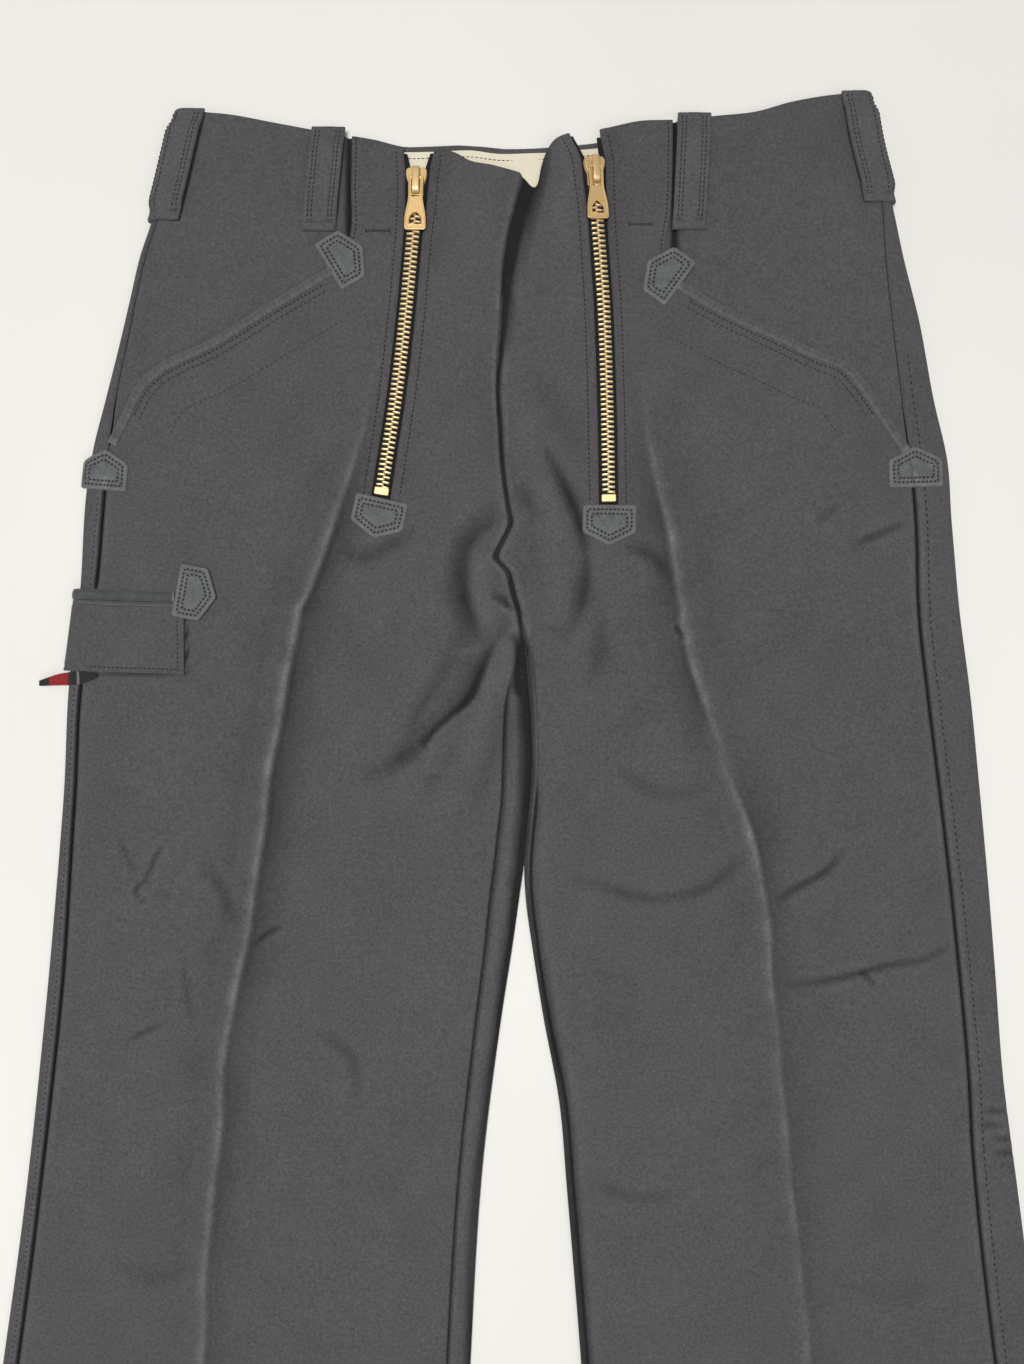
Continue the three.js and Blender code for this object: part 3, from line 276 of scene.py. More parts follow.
# Folds and creases: height is the rise, or the depth where it is negative. half is how wide it is
# to each side, or a pair: towards the wearer's right and left where it runs down. Each goes
# through its points and fades out at both ends.
FOLDS = (
    ("left of the fork", -2.8, (14, 8), (
        (-2, 246), (-9, 244.6), (-18.7, 249), (-24.8, 259.6),
        (-27.5, 273.7), (-28.2, 289.6), (-25.7, 305), (-21, 322),
    )),
    ("beside it", 1.3, (6, 9), ((-16, 254), (-20, 266), (-21.5, 280), (-19, 296), (-12, 308))),
    ("right of the seam", -2.2, (9, 6), (
        (12, 190), (24, 214), (36, 238), (42, 262),
        (43, 284), (38, 306), (30, 322),
    )),
    ("right of it", -1.3, 9, ((44, 268), (50, 296), (52, 322), (46, 352))),
    ("left half at the fork", 1.3, 8, ((14, 246), (22, 262), (26, 286), (24, 310))),
    ("above the fork", -0.7, (7, 9), ((0, 226), (8, 232), (20, 240), (34, 246))),
    ("fork pucker", -1.1, (2.6, 4.5), ((-14, 290), (-5, 295.5), (4, 300.5))),
    ("fork pit", -3.2, 5, ((3, 312), (5, 326), (5, 340), (1, 352))),
    ("beside the seam", -0.9, 4, ((-1, 100), (0, 120), (-2, 140), (-3.6, 154))),
    ("inner thigh", -2.6, (22, 9), (
        (0, 303), (-12, 319), (-20.5, 338), (-27, 354),
        (-40, 368), (-58, 381), (-80, 392),
    )),
    ("inner thigh rise", 2.0, (3.4, 10), (
        (-4, 316), (-12, 334), (-20, 354), (-36, 368),
        (-45, 376), (-49.6, 386), (-50.4, 400),
    )),
    ("inner thigh, outer", -1.0, 9, ((-56, 384), (-72, 394), (-92, 398))),
    ("left thigh pucker, outer", -0.45, 2.0, ((-236, 437), (-232.6, 445), (-228.7, 453), (-226, 458))),
    ("left thigh pucker, inner", -0.5, 2.4, ((-209, 440), (-214.6, 450), (-219, 460), (-222, 466))),
    ("pucker's end", -0.6, 2.2, ((-218, 464), (-224, 465), (-226, 470), (-222, 474), (-218, 471))),
    ("pucker's tail", -0.4, 2.2, ((-219, 471), (-212, 470.4), (-203, 471))),
    ("calf crease", -0.45, 2.0, ((-233, 560), (-221, 553.5), (-208, 548.6))),
    ("knee line", -0.4, 3.4, ((-198.7, 508), (-195, 531), (-191.4, 553))),
    ("thigh arc", -0.5, 5, ((-189, 452), (-178, 462), (-170, 478), (-167, 492))),
    ("knee arc", -0.6, 5, ((-122, 551), (-97, 568), (-92, 601))),
    ("across the crease", -0.5, 2.4, ((-155, 502), (-147, 494), (-137, 490))),
    ("above the jog", -1.0, 2.6, ((97, 309), (101, 312), (104, 318))),
    ("right knee", -0.9, 3, ((160, 525), (191, 522), (209, 518), (228, 513), (248, 510), (265, 500))),
    ("right knee branch", -0.7, 2.2, ((208, 517), (214, 521), (219, 527))),
    ("right thigh arc", -0.7, 5, ((30, 461), (53, 466), (85, 473), (118, 466), (142, 445))),
    ("right thigh arc, outer", -0.8, 3.4, ((156.6, 476), (166, 469.5), (190.7, 455), (198.6, 443))),
    ("below the side patch", -0.7, 3.4, ((239, 248), (226, 252), (214, 257), (202, 262))),
    ("above it", -0.4, 4, ((196, 236), (188, 243), (180, 246))),
    ("right thigh, upper", -0.5, 6, ((60, 395), (90, 410), (120, 408))),
    ("below the left zip patch", -0.8, 6, ((66, 262), (84, 268), (96, 284))),
    ("below the right zip patch", -1.0, 7, ((-104, 262), (-92, 268), (-74, 262), (-56, 252))),
    ("right calf", -0.6, 6, ((40, 640), (70, 652), (110, 650))),
    ("left calf", -0.5, 6, ((-250, 690), (-215, 700), (-180, 694))),
    ("right shin", -0.5, 7, ((190, 700), (225, 712), (262, 705))),
    ("right shin, lower", -0.5, 8, ((70, 900), (120, 915), (180, 905))),
    ("left shin, lower", -0.5, 8, ((-250, 930), (-190, 945), (-120, 930))),
)

FOLD_LINES = [(height, half, path_points(path, 5)[1]) for _, height, half, path in FOLDS]

# Sharp little wrinkles where the side of the left leg is pressed in at the knee
KNEE_WRINKLES = Table(
    "drop reach depth",
    (603, 22, -0.7), (612, 26, -0.8), (619, 20, -0.6), (627, 24, -0.8), (634, 14, -0.5),
)


class Leg:
    """One side of the garment. sign is the way that its side fold faces."""

    def __init__(self, name, sign, side, inside, crease, fly, mouth, corner, hem_inner, slider):
        self.name = name
        self.sign = sign
        self.side = side
        self.inside = inside
        self.crease = crease
        self.zip = fly
        self.mouth = mouth
        self.corner = corner
        self.hem_inner = hem_inner
        self.slider = slider
        self.mouth_end = mouth.data[-1, 0]
        self.slot_end = fly.data[-1, 0]

    def outer(self, drop):
        return self.side.at("outer", drop)

    def inner(self, drop):
        return self.inside.at("fold", drop)

    def slot_edge(self, part, drop):
        """The edge of the zip's slot towards the fall or towards the placket."""
        way = self.sign if part == "placket" else -self.sign
        return self.zip.at("x", drop) + way * self.zip.at(part, drop)

    def side_seam(self, drop):
        strip = np.maximum(ROLL + 0.5, self.side.at("strip", drop))
        return self.outer(drop) - self.sign * strip

    def seam_shows(self, drop):
        """From 0 to 1, how openly the inside seam lies on top: the left leg's turns up lower."""
        low, high = (395, 420) if self.sign > 0 else (330, 350)
        return smooth(drop, low, high)

    def inner_seam(self, drop):
        drop = np.asarray(drop, float)
        middle = FRONT_SEAM.at("x", np.clip(drop, 40, FORK))
        inside = self.inner(drop) + self.sign * self.inside.at("strip", drop)
        return mix(middle, inside, smooth(drop, FORK, LEGS_PARTED - 7))


def smooth(value, low, high):
    t = np.clip((np.asarray(value, float) - low) / (high - low), 0, 1)
    return t * t * (3 - 2 * t)


def mix(a, b, share):
    return a + (b - a) * share


def bell(distance, half):
    return np.exp(-((distance / half) ** 2))


RIGHT = Leg(
    "right", -1, RIGHT_SIDE, RIGHT_INSIDE, RIGHT_CREASE, RIGHT_ZIP, RIGHT_MOUTH, -197, -42, 43
)
LEFT = Leg("left", 1, LEFT_SIDE, LEFT_INSIDE, LEFT_CREASE, LEFT_ZIP, LEFT_MOUTH, 212, 69, 36.8)
LEGS = {"right": RIGHT, "left": LEFT}


# The form of the cloth


def fold_shape(x, drop, height, half, path):
    """Rise of one fold at each place, from the distance to its path."""
    lengths = np.linalg.norm(np.diff(path, axis=0), axis=1)
    total = lengths.sum()
    towards_right, towards_left = half if isinstance(half, tuple) else (half, half)
    reach = 3 * max(towards_right, towards_left)
    lo, hi = path.min(0) - reach, path.max(0) + reach
    near = (x > lo[0]) & (x < hi[0]) & (drop > lo[1]) & (drop < hi[1])
    rise = np.zeros(np.shape(x))
    if not near.any():
        return rise
    place = np.stack([x[near], drop[near]], -1)
    best = np.full(len(place), 1e9)
    along = np.zeros(len(place))
    side = np.zeros(len(place))
    start = 0.0
    for a, b, length in zip(path[:-1], path[1:], lengths):
        t = np.clip((place - a) @ (b - a) / length**2, 0, 1)
        away = np.linalg.norm(place - (a + t[:, None] * (b - a)), axis=1)
        closer = away < best
        best = np.where(closer, away, best)
        along = np.where(closer, (start + t * length) / total, along)
        turned = (place[:, 0] - a[0]) * (b - a)[1] - (place[:, 1] - a[1]) * (b - a)[0]
        side = np.where(closer, turned / length, side)
        start += length
    fade = np.clip(np.minimum(along, 1 - along) * 3.2, 0, 1) ** 0.7
    share = smooth(side, -2, 2)
    rise[near] = height * fade * bell(best, mix(towards_right, towards_left, share))
    return rise


def beside_crease(leg, x, drop):
    """How far a place is from the pressed crease, which wanders a little."""
    wander = 0.7 * np.sin(drop / 23.0) + 0.5 * np.sin(drop / 9.7 + 1.3)
    return x - leg.crease.at("x", drop) - wander * smooth(drop, 240, 330)


def crease_height(leg, drop):
    uneven = 1 + 0.12 * np.sin(drop / 31.0 + 0.4) + 0.1 * np.sin(drop / 13.0)
    height = np.clip(leg.crease.at("height", drop), 0, None) * uneven
    return height * (drop > leg.crease.data[0, 0])


def crease_lift(leg, x, drop):
    """The pressed crease: a long slope up to it on one side and a steep one on the other."""
    away = beside_crease(leg, x, drop)

    def profile(a):
        slope = 0.25 * bell(a, 4.5) + 0.75 / (1 + (a / 17) ** 2) ** 1.5
        fall = np.maximum(a, 0)
        steep = 0.5 * np.exp(-fall / 2.0) + 0.5 / (1 + (fall / 13) ** 2)
        return np.where(a < 0, slope, steep)

    return crease_height(leg, drop) * mix(profile(-away), profile(away), leg.crease.at("right", drop))


def waviness(x, drop):
    """Slow unevenness of heavy cloth that lies by its own weight."""
    total = 0.0
    for across, down, phase, size in (
        (0.031, 0.017, 0.3, 0.24),
        (-0.022, 0.041, 1.9, 0.2),
        (0.067, 0.023, 4.1, 0.1),
        (0.045, -0.058, 2.6, 0.09),
        (-0.11, 0.083, 5.2, 0.045),
        (0.14, 0.12, 0.9, 0.035),
    ):
        total = total + size * np.sin(across * x + down * drop + phase)
    return total


def inner_roll(x, drop):
    """How far the inner side of each leg falls away: the right leg's in a broad roll to its
    fold, the left leg's beside its seam."""
    below = np.maximum(drop, FORK)
    right, left = RIGHT.inner(below), LEFT.inner(below)
    from_fold = np.where(x < (right + left) / 2, right - x, 99)
    broad = 2.8 * (1 - smooth(from_fold, 0.5, 12)) * smooth(drop, 322, 350)
    from_seam = np.where(x > left, x - left - 4, 99)
    narrow = 1.3 * bell(from_seam, 4.5) * smooth(drop, 395, 425)
    return broad + narrow


def front_height(x, drop):
    """Height above the table of the front's outer face."""
    x, drop = np.broadcast_arrays(np.asarray(x, float), np.asarray(drop, float))
    z = mix(HIP_HEIGHT, LEG_HEIGHT, smooth(drop, HIP_END, LEG_START))
    z = z + crease_lift(RIGHT, x, drop) + crease_lift(LEFT, x, drop) + waviness(x, drop)
    for px, pd, across, along, turn, height in PUFFS.data:
        turn = math.radians(turn)
        u = (x - px) * math.cos(turn) + (drop - pd) * math.sin(turn)
        v = (drop - pd) * math.cos(turn) - (x - px) * math.sin(turn)
        z = z + height * bell(u, across) * bell(v, along)
    for height, half, path in FOLD_LINES:
        z = z + fold_shape(x, drop, height, half, path)
    for middle, reach, depth in KNEE_WRINKLES.data:
        inwards = LEFT.outer(drop) - x
        slant = drop - middle + 0.2 * inwards
        z = z + depth * bell(slant, 1.8) * (1 - smooth(inwards, 6, reach))
    z = z - inner_roll(x, drop)
    for leg in LEGS.values():
        below = smooth(drop, leg.mouth_end, leg.mouth_end + 20)
        if leg is RIGHT:
            below = below * (1 - smooth(drop, 282, 288) * (1 - smooth(drop, 337, 341)))
        z = z - 1.1 * bell(x - leg.side_seam(drop), 1.2) * below
    share = np.clip(GROOVE.at("share", drop), 0, 1)
    away = x - GROOVE.at("x", np.clip(drop, 30, 325))
    right = bell(np.minimum(away, 0), np.maximum(GROOVE.at("sharp", drop), 0.8))
    left = bell(np.maximum(away, 0), np.maximum(GROOVE.at("soft", drop), 1))
    groove = share * np.where(away < 0, right, left)
    return np.maximum(mix(z, GROOVE_FLOOR, groove), LOWEST)


def on_front(x, drop, lift=0.0):
    """Points over the front's outer face, lifted along the face's own normal."""
    x, drop, lift = np.broadcast_arrays(
        np.asarray(x, float), np.asarray(drop, float), np.asarray(lift, float)
    )
    step = 0.8
    across = (front_height(x + step, drop) - front_height(x - step, drop)) / (2 * step)
    down = (front_height(x, drop + step) - front_height(x, drop - step)) / (2 * step)
    normal = np.stack([-across, down, np.ones_like(x)], -1)
    normal /= np.linalg.norm(normal, axis=-1, keepdims=True)
    base = np.stack([x, -drop, front_height(x, drop)], -1)
    return base + normal * lift[..., None]


def on_fold(edge, side, drop, angle, lift=0.0):
    """Points on a rounded fold: angle runs from 0 on top to pi on the table."""
    centre = edge - side * ROLL
    half = front_height(centre, drop) / 2
    x = centre + side * (ROLL + lift) * np.sin(angle)
    z = half + (half + lift) * np.cos(angle)
    return np.stack(np.broadcast_arrays(x, -np.asarray(drop, float), z), -1)


def on_cloth(edge, side, inwards, drop, lift=0.0):
    """Points by their distance in from a fold, which run on round it where that is small."""
    inwards = np.asarray(inwards, float)
    half = front_height(edge - side * ROLL, drop) / 2
    girth = math.pi * np.sqrt((ROLL**2 + half**2) / 2)
    angle = np.clip((ROLL - inwards) / girth * math.pi, 0, math.pi)
    rolled = on_fold(edge, side, drop, angle, lift)
    flat = on_front(edge - side * inwards, drop, lift)
    return np.where((inwards >= ROLL)[..., None], flat, rolled)


def on_garment(leg, x, drop, lift=0.0):
    edge = leg.outer(drop)
    return on_cloth(edge, leg.sign, leg.sign * (edge - x), drop, lift)


def row_drop(row, x, waist, hem_inner):
    """The drop of a row at x: the first rows follow the waist edge, the last the hem."""
    follow = np.maximum(0, 1 - row / WAIST_FADE)
    slant = np.maximum(0, 1 - (HEM - row) / HEM_FADE) * HEM_SLANT * np.abs(x - hem_inner)
    return row + waist.at("drop", x) * follow - slant


def in_frame(points):
    """Millimetres from the tailor's zero to metres in the frame."""
    return (np.asarray(points, float) + (-CENTRE_X, CENTRE_DROP, 0)) / 1000


# Meshes


def mesh_object(name, points, faces, material, smooth_angle=50):
    mesh = bpy.data.meshes.new(name)
    mesh.from_pydata(in_frame(points).tolist(), [], faces)
    mesh.materials.append(material)
    mesh.shade_smooth()
    mesh.set_sharp_from_angle(angle=math.radians(smooth_angle))
    mesh.validate()
    obj = bpy.data.objects.new(name, mesh)
    bpy.context.scene.collection.objects.link(obj)
    return obj


def sheet_between(name, upper, lower, material, keep=None, smooth_angle=50):
    """A closed sheet between two grids of points. keep says which squares of the grid it has."""
    rows, columns = upper.shape[:2]
    if keep is None:
        keep = np.ones((rows - 1, columns - 1), bool)
    corner = upper[0, 0]
    facing = np.cross(upper[1, 0] - corner, upper[0, 1] - corner) @ (corner - lower[0, 0])
    if facing < 0:
        upper, lower, keep = upper[:, ::-1], lower[:, ::-1], keep[:, ::-1]
    i, j = np.nonzero(keep)
    a = i * columns + j
    top = np.stack([a, a + columns, a + columns + 1, a + 1], -1)
    shift = rows * columns
    under = top[:, ::-1] + shift
    edges = np.concatenate([top[:, [k, (k + 1) % 4]] for k in range(4)])
    big = 2 * shift
    codes = edges[:, 0] * big + edges[:, 1]
    backs = edges[:, 1] * big + edges[:, 0]
    rim = edges[~np.isin(codes, backs)]
    walls = np.stack([rim[:, 1], rim[:, 0], rim[:, 0] + shift, rim[:, 1] + shift], -1)
    points = np.concatenate([upper.reshape(-1, 3), lower.reshape(-1, 3)])
    faces = np.concatenate([top, under, walls])
    used, compact = np.unique(faces, return_inverse=True)
    faces = compact.reshape(faces.shape).tolist()
    return mesh_object(name, points[used], faces, material, smooth_angle)


def lanes(knots, counts):
    """Columns of a grid: between one knot and the next there are count even steps."""
    parts = [
        mix(a[:, None], b[:, None], np.arange(count)[None, :] / count)
        for a, b, count in zip(knots[:-1], knots[1:], counts)
    ]
    return np.concatenate([*parts, knots[-1][:, None]], axis=1)


def place(obj, slot, *nodes, body="garment"):
    """Puts a piece in the frame: its body and the nodes that it stands for. slot, the piece's finish, is not
    used.
    """
    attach(obj, body)
    if nodes:
        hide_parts(*nodes)
        obj.name = f"{nodes[0]}_dressed"
    return obj


def turned_down(away, depth=0.55, reach=1.6):
    """How far a cut and pressed edge rolls down, by the distance from it."""
    return -depth * np.clip(1 - np.abs(away) / reach, 0, 1) ** 2


# Shader groups


def group_of(name, inputs, outputs):
    group = bpy.data.node_groups.new(name, "ShaderNodeTree")
    for label, kind, value in inputs:
        socket = group.interface.new_socket(name=label, in_out="INPUT", socket_type=kind)
        if value is not None:
            socket.default_value = value
    for label, kind in outputs:
        group.interface.new_socket(name=label, in_out="OUTPUT", socket_type=kind)
    return group, Nodes(group)


class Nodes:
    """Short ways to add and join nodes of one tree."""

    def __init__(self, tree):
        self.tree = tree

    def add(self, kind, values=None, **settings):
        node = self.tree.nodes.new(kind)
        for key, value in settings.items():
            setattr(node, key, value)
        for socket, value in (values or {}).items():
            self.feed(value, node.inputs[socket])
        return node

    def feed(self, value, socket):
        if isinstance(value, bpy.types.NodeSocket):
            self.tree.links.new(value, socket)
        else:
            socket.default_value = value

    def math(self, operation, a, b=0.0, clamp=False):
        node = self.add("ShaderNodeMath", {0: a, 1: b}, operation=operation, use_clamp=clamp)
        return node.outputs[0]

    def span(self, value, low, high, to_low=0.0, to_high=1.0):
        values = {0: value, 1: low, 2: high, 3: to_low, 4: to_high}
        return self.add("ShaderNodeMapRange", values).outputs[0]

    def mix(self, share, a, b, blend="MIX"):
        node = self.add("ShaderNodeMix", data_type="RGBA", blend_type=blend)
        self.feed(share, node.inputs[0])
        self.feed(a, node.inputs[6])
        self.feed(b, node.inputs[7])
        return node.outputs[2]

    def scaled(self, vector, scale, turn=0.0):
        values = {0: vector, "Rotation": (0, 0, turn), "Scale": scale}
        return self.add("ShaderNodeMapping", values).outputs[0]

    def noise(self, vector, scale, detail=2.0, roughness=0.5):
        values = {"Vector": vector, "Scale": scale, "Detail": detail, "Roughness": roughness}
        return self.add("ShaderNodeTexNoise", values).outputs[0]

    def place(self):
        return self.add("ShaderNodeTexCoord").outputs["Object"]


def twill_group():
    """Fine diagonal ribs of woven cloth with a short nap brushed over them."""
    group, n = group_of(
        "Twill and nap",
        [("Ribs per metre", "NodeSocketFloat", 900.0), ("Nap", "NodeSocketFloat", 0.5)],
        [("Height", "NodeSocketFloat"), ("Tone", "NodeSocketFloat")],
    )
    given = n.add("NodeGroupInput").outputs
    split = n.add("ShaderNodeSeparateXYZ", {0: n.place()}).outputs
    across = n.math("MULTIPLY", split[0], 0.84)
    down = n.math("MULTIPLY", split[1], 0.55)
    run = n.math("MULTIPLY", n.math("ADD", across, down), given["Ribs per metre"])
    wobble = n.math("MULTIPLY", n.noise(n.place(), 260.0, 1.0), 1.2)
    ribs = n.math("SINE", n.math("MULTIPLY", n.math("ADD", run, wobble), 6.2832))
    ribs = n.math("MULTIPLY", n.math("ADD", ribs, 1.0), 0.5)
    nap = n.noise(n.place(), 1500.0, 3.0, 0.65)
    clumps = n.noise(n.place(), 560.0, 4.0, 0.72)
    height = n.math("ADD", n.math("MULTIPLY", ribs, 0.5), n.math("MULTIPLY", nap, given["Nap"]))
    shade = n.math("ADD", n.math("MULTIPLY", nap, 0.35), n.math("MULTIPLY", clumps, 0.45))
    out = n.add("NodeGroupOutput")
    n.feed(height, out.inputs["Height"])
    n.feed(n.math("ADD", n.math("MULTIPLY", ribs, 0.07), n.math("ADD", shade, 0.065)), out.inputs["Tone"])
    return group


def dust_group():
    """Specks and short hairs of lint, and a faint bloom of dust between them."""
    group, n = group_of(
        "Lint and dust",
        [("Amount", "NodeSocketFloat", 0.5)],
        [("Specks", "NodeSocketFloat"), ("Bloom", "NodeSocketFloat")],
    )
    amount = n.add("NodeGroupInput").outputs["Amount"]
    spots = n.add("ShaderNodeTexVoronoi", {"Vector": n.place(), "Scale": 210.0}, feature="F1")
    chance = n.noise(n.place(), 60.0, 2.0)
    round_ones = n.span(spots.outputs["Distance"], 0.1, 0.04)
    rare = n.span(chance, 0.6, 0.66)
    long_way = n.scaled(n.place(), (2600.0, 190.0, 190.0), 0.5)
    hair = n.span(n.noise(long_way, 1.0, 1.0), 0.77, 0.79)
    other_way = n.scaled(n.place(), (170.0, 2300.0, 170.0), -0.35)
    hair_two = n.span(n.noise(other_way, 1.0, 1.0), 0.775, 0.795)
    specks = n.math("MAXIMUM", n.math("MULTIPLY", round_ones, rare), n.math("MAXIMUM", hair, hair_two))
    out = n.add("NodeGroupOutput")
    n.feed(n.math("MULTIPLY", specks, amount, True), out.inputs["Specks"])
    bloom = n.span(n.noise(n.place(), 14.0, 5.0, 0.6), 0.42, 0.68)
    n.feed(n.math("MULTIPLY", bloom, amount), out.inputs["Bloom"])
    return group


def wear_group():
    """Where a piece is rubbed: on its raised edges, in uneven patches."""
    group, n = group_of(
        "Rubbed edges",
        [("Reach", "NodeSocketFloat", 0.5), ("Patchiness", "NodeSocketFloat", 0.5)],
        [("Mask", "NodeSocketFloat")],
    )
    given = n.add("NodeGroupInput").outputs
    point = n.add("ShaderNodeNewGeometry").outputs["Pointiness"]
    raised = n.math("MULTIPLY", n.span(point, 0.505, 0.6), given["Reach"])
    patches = n.span(n.noise(n.place(), 320.0, 4.0, 0.62), 0.35, 0.7)
    uneven = n.math("ADD", n.math("MULTIPLY", patches, given["Patchiness"]), 1.0)
    out = n.add("NodeGroupOutput")
    n.feed(n.math("MULTIPLY", raised, uneven, True), out.inputs["Mask"])
    return group


class Finishes:
    """The materials, each made once and found by its plain name."""

    def __init__(self, settings):
        self.settings = settings
        self.twill = twill_group()
        self.dust = dust_group()
        self.wear = wear_group()
        self.made = {}

    def get(self, name):
        if name not in self.made:
            self.made[name] = getattr(self, name)()
        return self.made[name]

    def start(self, name, **uniform):
        material = bpy.data.materials.new(name)
        material.use_nodes = True
        tree = material.node_tree
        shader = next(node for node in tree.nodes if node.type == "BSDF_PRINCIPLED")
        for socket, value in uniform.items():
            shader.inputs[socket.replace("_", " ")].default_value = value
        return material, Nodes(tree), shader

    def placed(self, n, group, **values):
        node = n.add("ShaderNodeGroup", node_tree=group)
        for socket, value in values.items():
            n.feed(value, node.inputs[socket.replace("_", " ")])
        return node.outputs

    def cloth(self, name, colour, rubbed, ribs=900.0, lint=0.5, bump=0.35):
        material, n, shader = self.start(
            name,
            Sheen_Weight=0.12,
            Sheen_Roughness=0.5,
            Sheen_Tint=(0.78, 0.76, 0.8, 1),
            Specular_IOR_Level=0.18,
        )
        weave = self.placed(n, self.twill, Ribs_per_metre=ribs, Nap=0.9)
        dust = self.placed(n, self.dust, Amount=lint)
        # The rubbed attribute lays the pale colour on rubbed places and as a painted highlight on the lit side
        # of the creases; the stored painted shade darkens the cloth to 0.16 of its colour.
        rub_and_highlight_mark = n.add("ShaderNodeAttribute", attribute_name="rubbed").outputs["Fac"]
        hollow = n.add("ShaderNodeAttribute", attribute_name="hollow").outputs["Fac"]
        patches = n.noise(n.place(), 42.0, 6.0, 0.62)
        rubbing_and_highlight = n.math("MULTIPLY", rub_and_highlight_mark, n.span(patches, 0.3, 0.62, 0.35, 1.0), True)
        tone_and_painted_shade = n.math("MULTIPLY", n.span(patches, 0.3, 0.7, 0.95, 1.05), n.span(hollow, 0, 1, 1.0, 0.16))
        grey = n.add("ShaderNodeCombineColor", {0: tone_and_painted_shade, 1: tone_and_painted_shade, 2: tone_and_painted_shade})
        colour_with_painted_shade = n.mix(1.0, colour, grey.outputs[0], "MULTIPLY")
        rubbed_lit_and_shaded = n.mix(rubbing_and_highlight, colour_with_painted_shade, rubbed)
        nap = n.span(weave["Tone"], 0.38, 0.62, 0.62, 1.4)
        brushed = n.add("ShaderNodeCombineColor", {0: nap, 1: nap, 2: nap})
        rubbed_lit_and_shaded = n.mix(1.0, rubbed_lit_and_shaded, brushed.outputs[0], "MULTIPLY")
        bloomed = n.mix(n.math("MULTIPLY", dust["Bloom"], 0.08), rubbed_lit_and_shaded, rubbed)
        specked = n.mix(n.math("MULTIPLY", dust["Specks"], 0.35), bloomed, (0.3, 0.29, 0.285, 1))
        n.feed(specked, shader.inputs["Base Color"])
        n.feed(n.span(rubbing_and_highlight, 0, 1, 0.94, 0.8), shader.inputs["Roughness"])
        relief = n.add("ShaderNodeBump", {"Strength": bump, "Distance": 0.00025, "Height": weave["Height"]})
        slubs = n.noise(n.place(), 230.0, 4.0, 0.6)
        coarse = n.add(
            "ShaderNodeBump",
            {"Strength": 0.3, "Distance": 0.0006, "Height": slubs, "Normal": relief.outputs[0]},
        )
        n.feed(coarse.outputs[0], shader.inputs["Normal"])
        return material

    def moleskin(self):
        cloth = self.settings.cloth
        return self.cloth("Black moleskin", (*cloth.colour, 1), (*cloth.rubbed_and_highlight_colour, 1))

    def tape(self):
        return self.cloth(
            "Zip tape", (0.014, 0.014, 0.016, 1), (0.04, 0.04, 0.043, 1), ribs=1500.0, lint=0.3, bump=0.6
        )

    def lining(self):
        material, n, shader = self.start("Cream lining", Sheen_Weight=0.15, Specular_IOR_Level=0.25)
        weave = self.placed(n, self.twill, Ribs_per_metre=1300.0, Nap=0.4)
        dust = self.placed(n, self.dust, Amount=0.7)
        colour = (*self.settings.trim.lining_colour, 1)
        shade = n.mix(n.span(weave["Tone"], 0.2, 0.8), colour, (0.66, 0.6, 0.46, 1))
        soiled = n.mix(n.math("MULTIPLY", dust["Bloom"], 0.25), shade, (0.45, 0.38, 0.26, 1))
        n.feed(soiled, shader.inputs["Base Color"])
        n.feed(n.span(weave["Tone"], 0, 1, 0.9, 0.8), shader.inputs["Roughness"])
        relief = n.add("ShaderNodeBump", {"Strength": 0.5, "Distance": 0.0003, "Height": weave["Height"]})
        n.feed(relief.outputs[0], shader.inputs["Normal"])
        return material

    def thread(self):
        material, n, shader = self.start("Black thread", Sheen_Weight=0.2, Specular_IOR_Level=0.35)
        twist = n.noise(n.scaled(n.place(), (900.0, 900.0, 900.0)), 1.0, 2.0)
        n.feed(n.mix(twist, (0.006, 0.006, 0.007, 1), (0.018, 0.018, 0.019, 1)), shader.inputs["Base Color"])
        n.feed(n.span(twist, 0, 1, 0.55, 0.75), shader.inputs["Roughness"])
        return material

    def leather(self):
        return self.hide("Black patch leather", 0.9, 0.5, 0.3)

    def binding(self):
        return self.hide("Black binding leather", 0.42, 0.42, 0.32)

    def hide(self, name, shade, rough, shine):
        material, n, shader = self.start(name, Specular_IOR_Level=shine, Sheen_Weight=0.12)
        rubbed = self.placed(n, self.wear, Reach=0.9, Patchiness=0.8)
        dust = self.placed(n, self.dust, Amount=0.6)
        cells = n.add(
            "ShaderNodeTexVoronoi", {"Vector": n.place(), "Scale": 1500.0}, feature="DISTANCE_TO_EDGE"
        ).outputs["Distance"]
        pores = n.span(cells, 0.0, 0.12)
        cloudy = n.noise(n.place(), 150.0, 6.0, 0.65)
        colour = [shade * c for c in self.settings.trim.leather_colour]
        base = n.mix(n.span(cloudy, 0.3, 0.72), (*colour, 1), (*[1.75 * c for c in colour], 1))
        edged = n.mix(n.math("MULTIPLY", rubbed["Mask"], 0.55), base, (0.3, 0.3, 0.3, 1))
        dusty = n.mix(n.math("MULTIPLY", dust["Specks"], 0.5), edged, (0.38, 0.37, 0.36, 1))
        n.feed(n.mix(n.span(pores, 0, 1, 0.4, 0.0), dusty, (0.02, 0.02, 0.021, 1)), shader.inputs["Base Color"])
        n.feed(n.span(cloudy, 0.3, 0.7, rough, rough + 0.18), shader.inputs["Roughness"])
        fine = n.add("ShaderNodeBump", {"Strength": 0.35, "Distance": 0.0003, "Height": pores})
        wrinkles = n.add(
            "ShaderNodeBump",
            {"Strength": 0.4, "Distance": 0.0008, "Height": n.noise(n.place(), 420.0, 5.0, 0.6), "Normal": fine.outputs[0]},
        )
        n.feed(wrinkles.outputs[0], shader.inputs["Normal"])
        return material

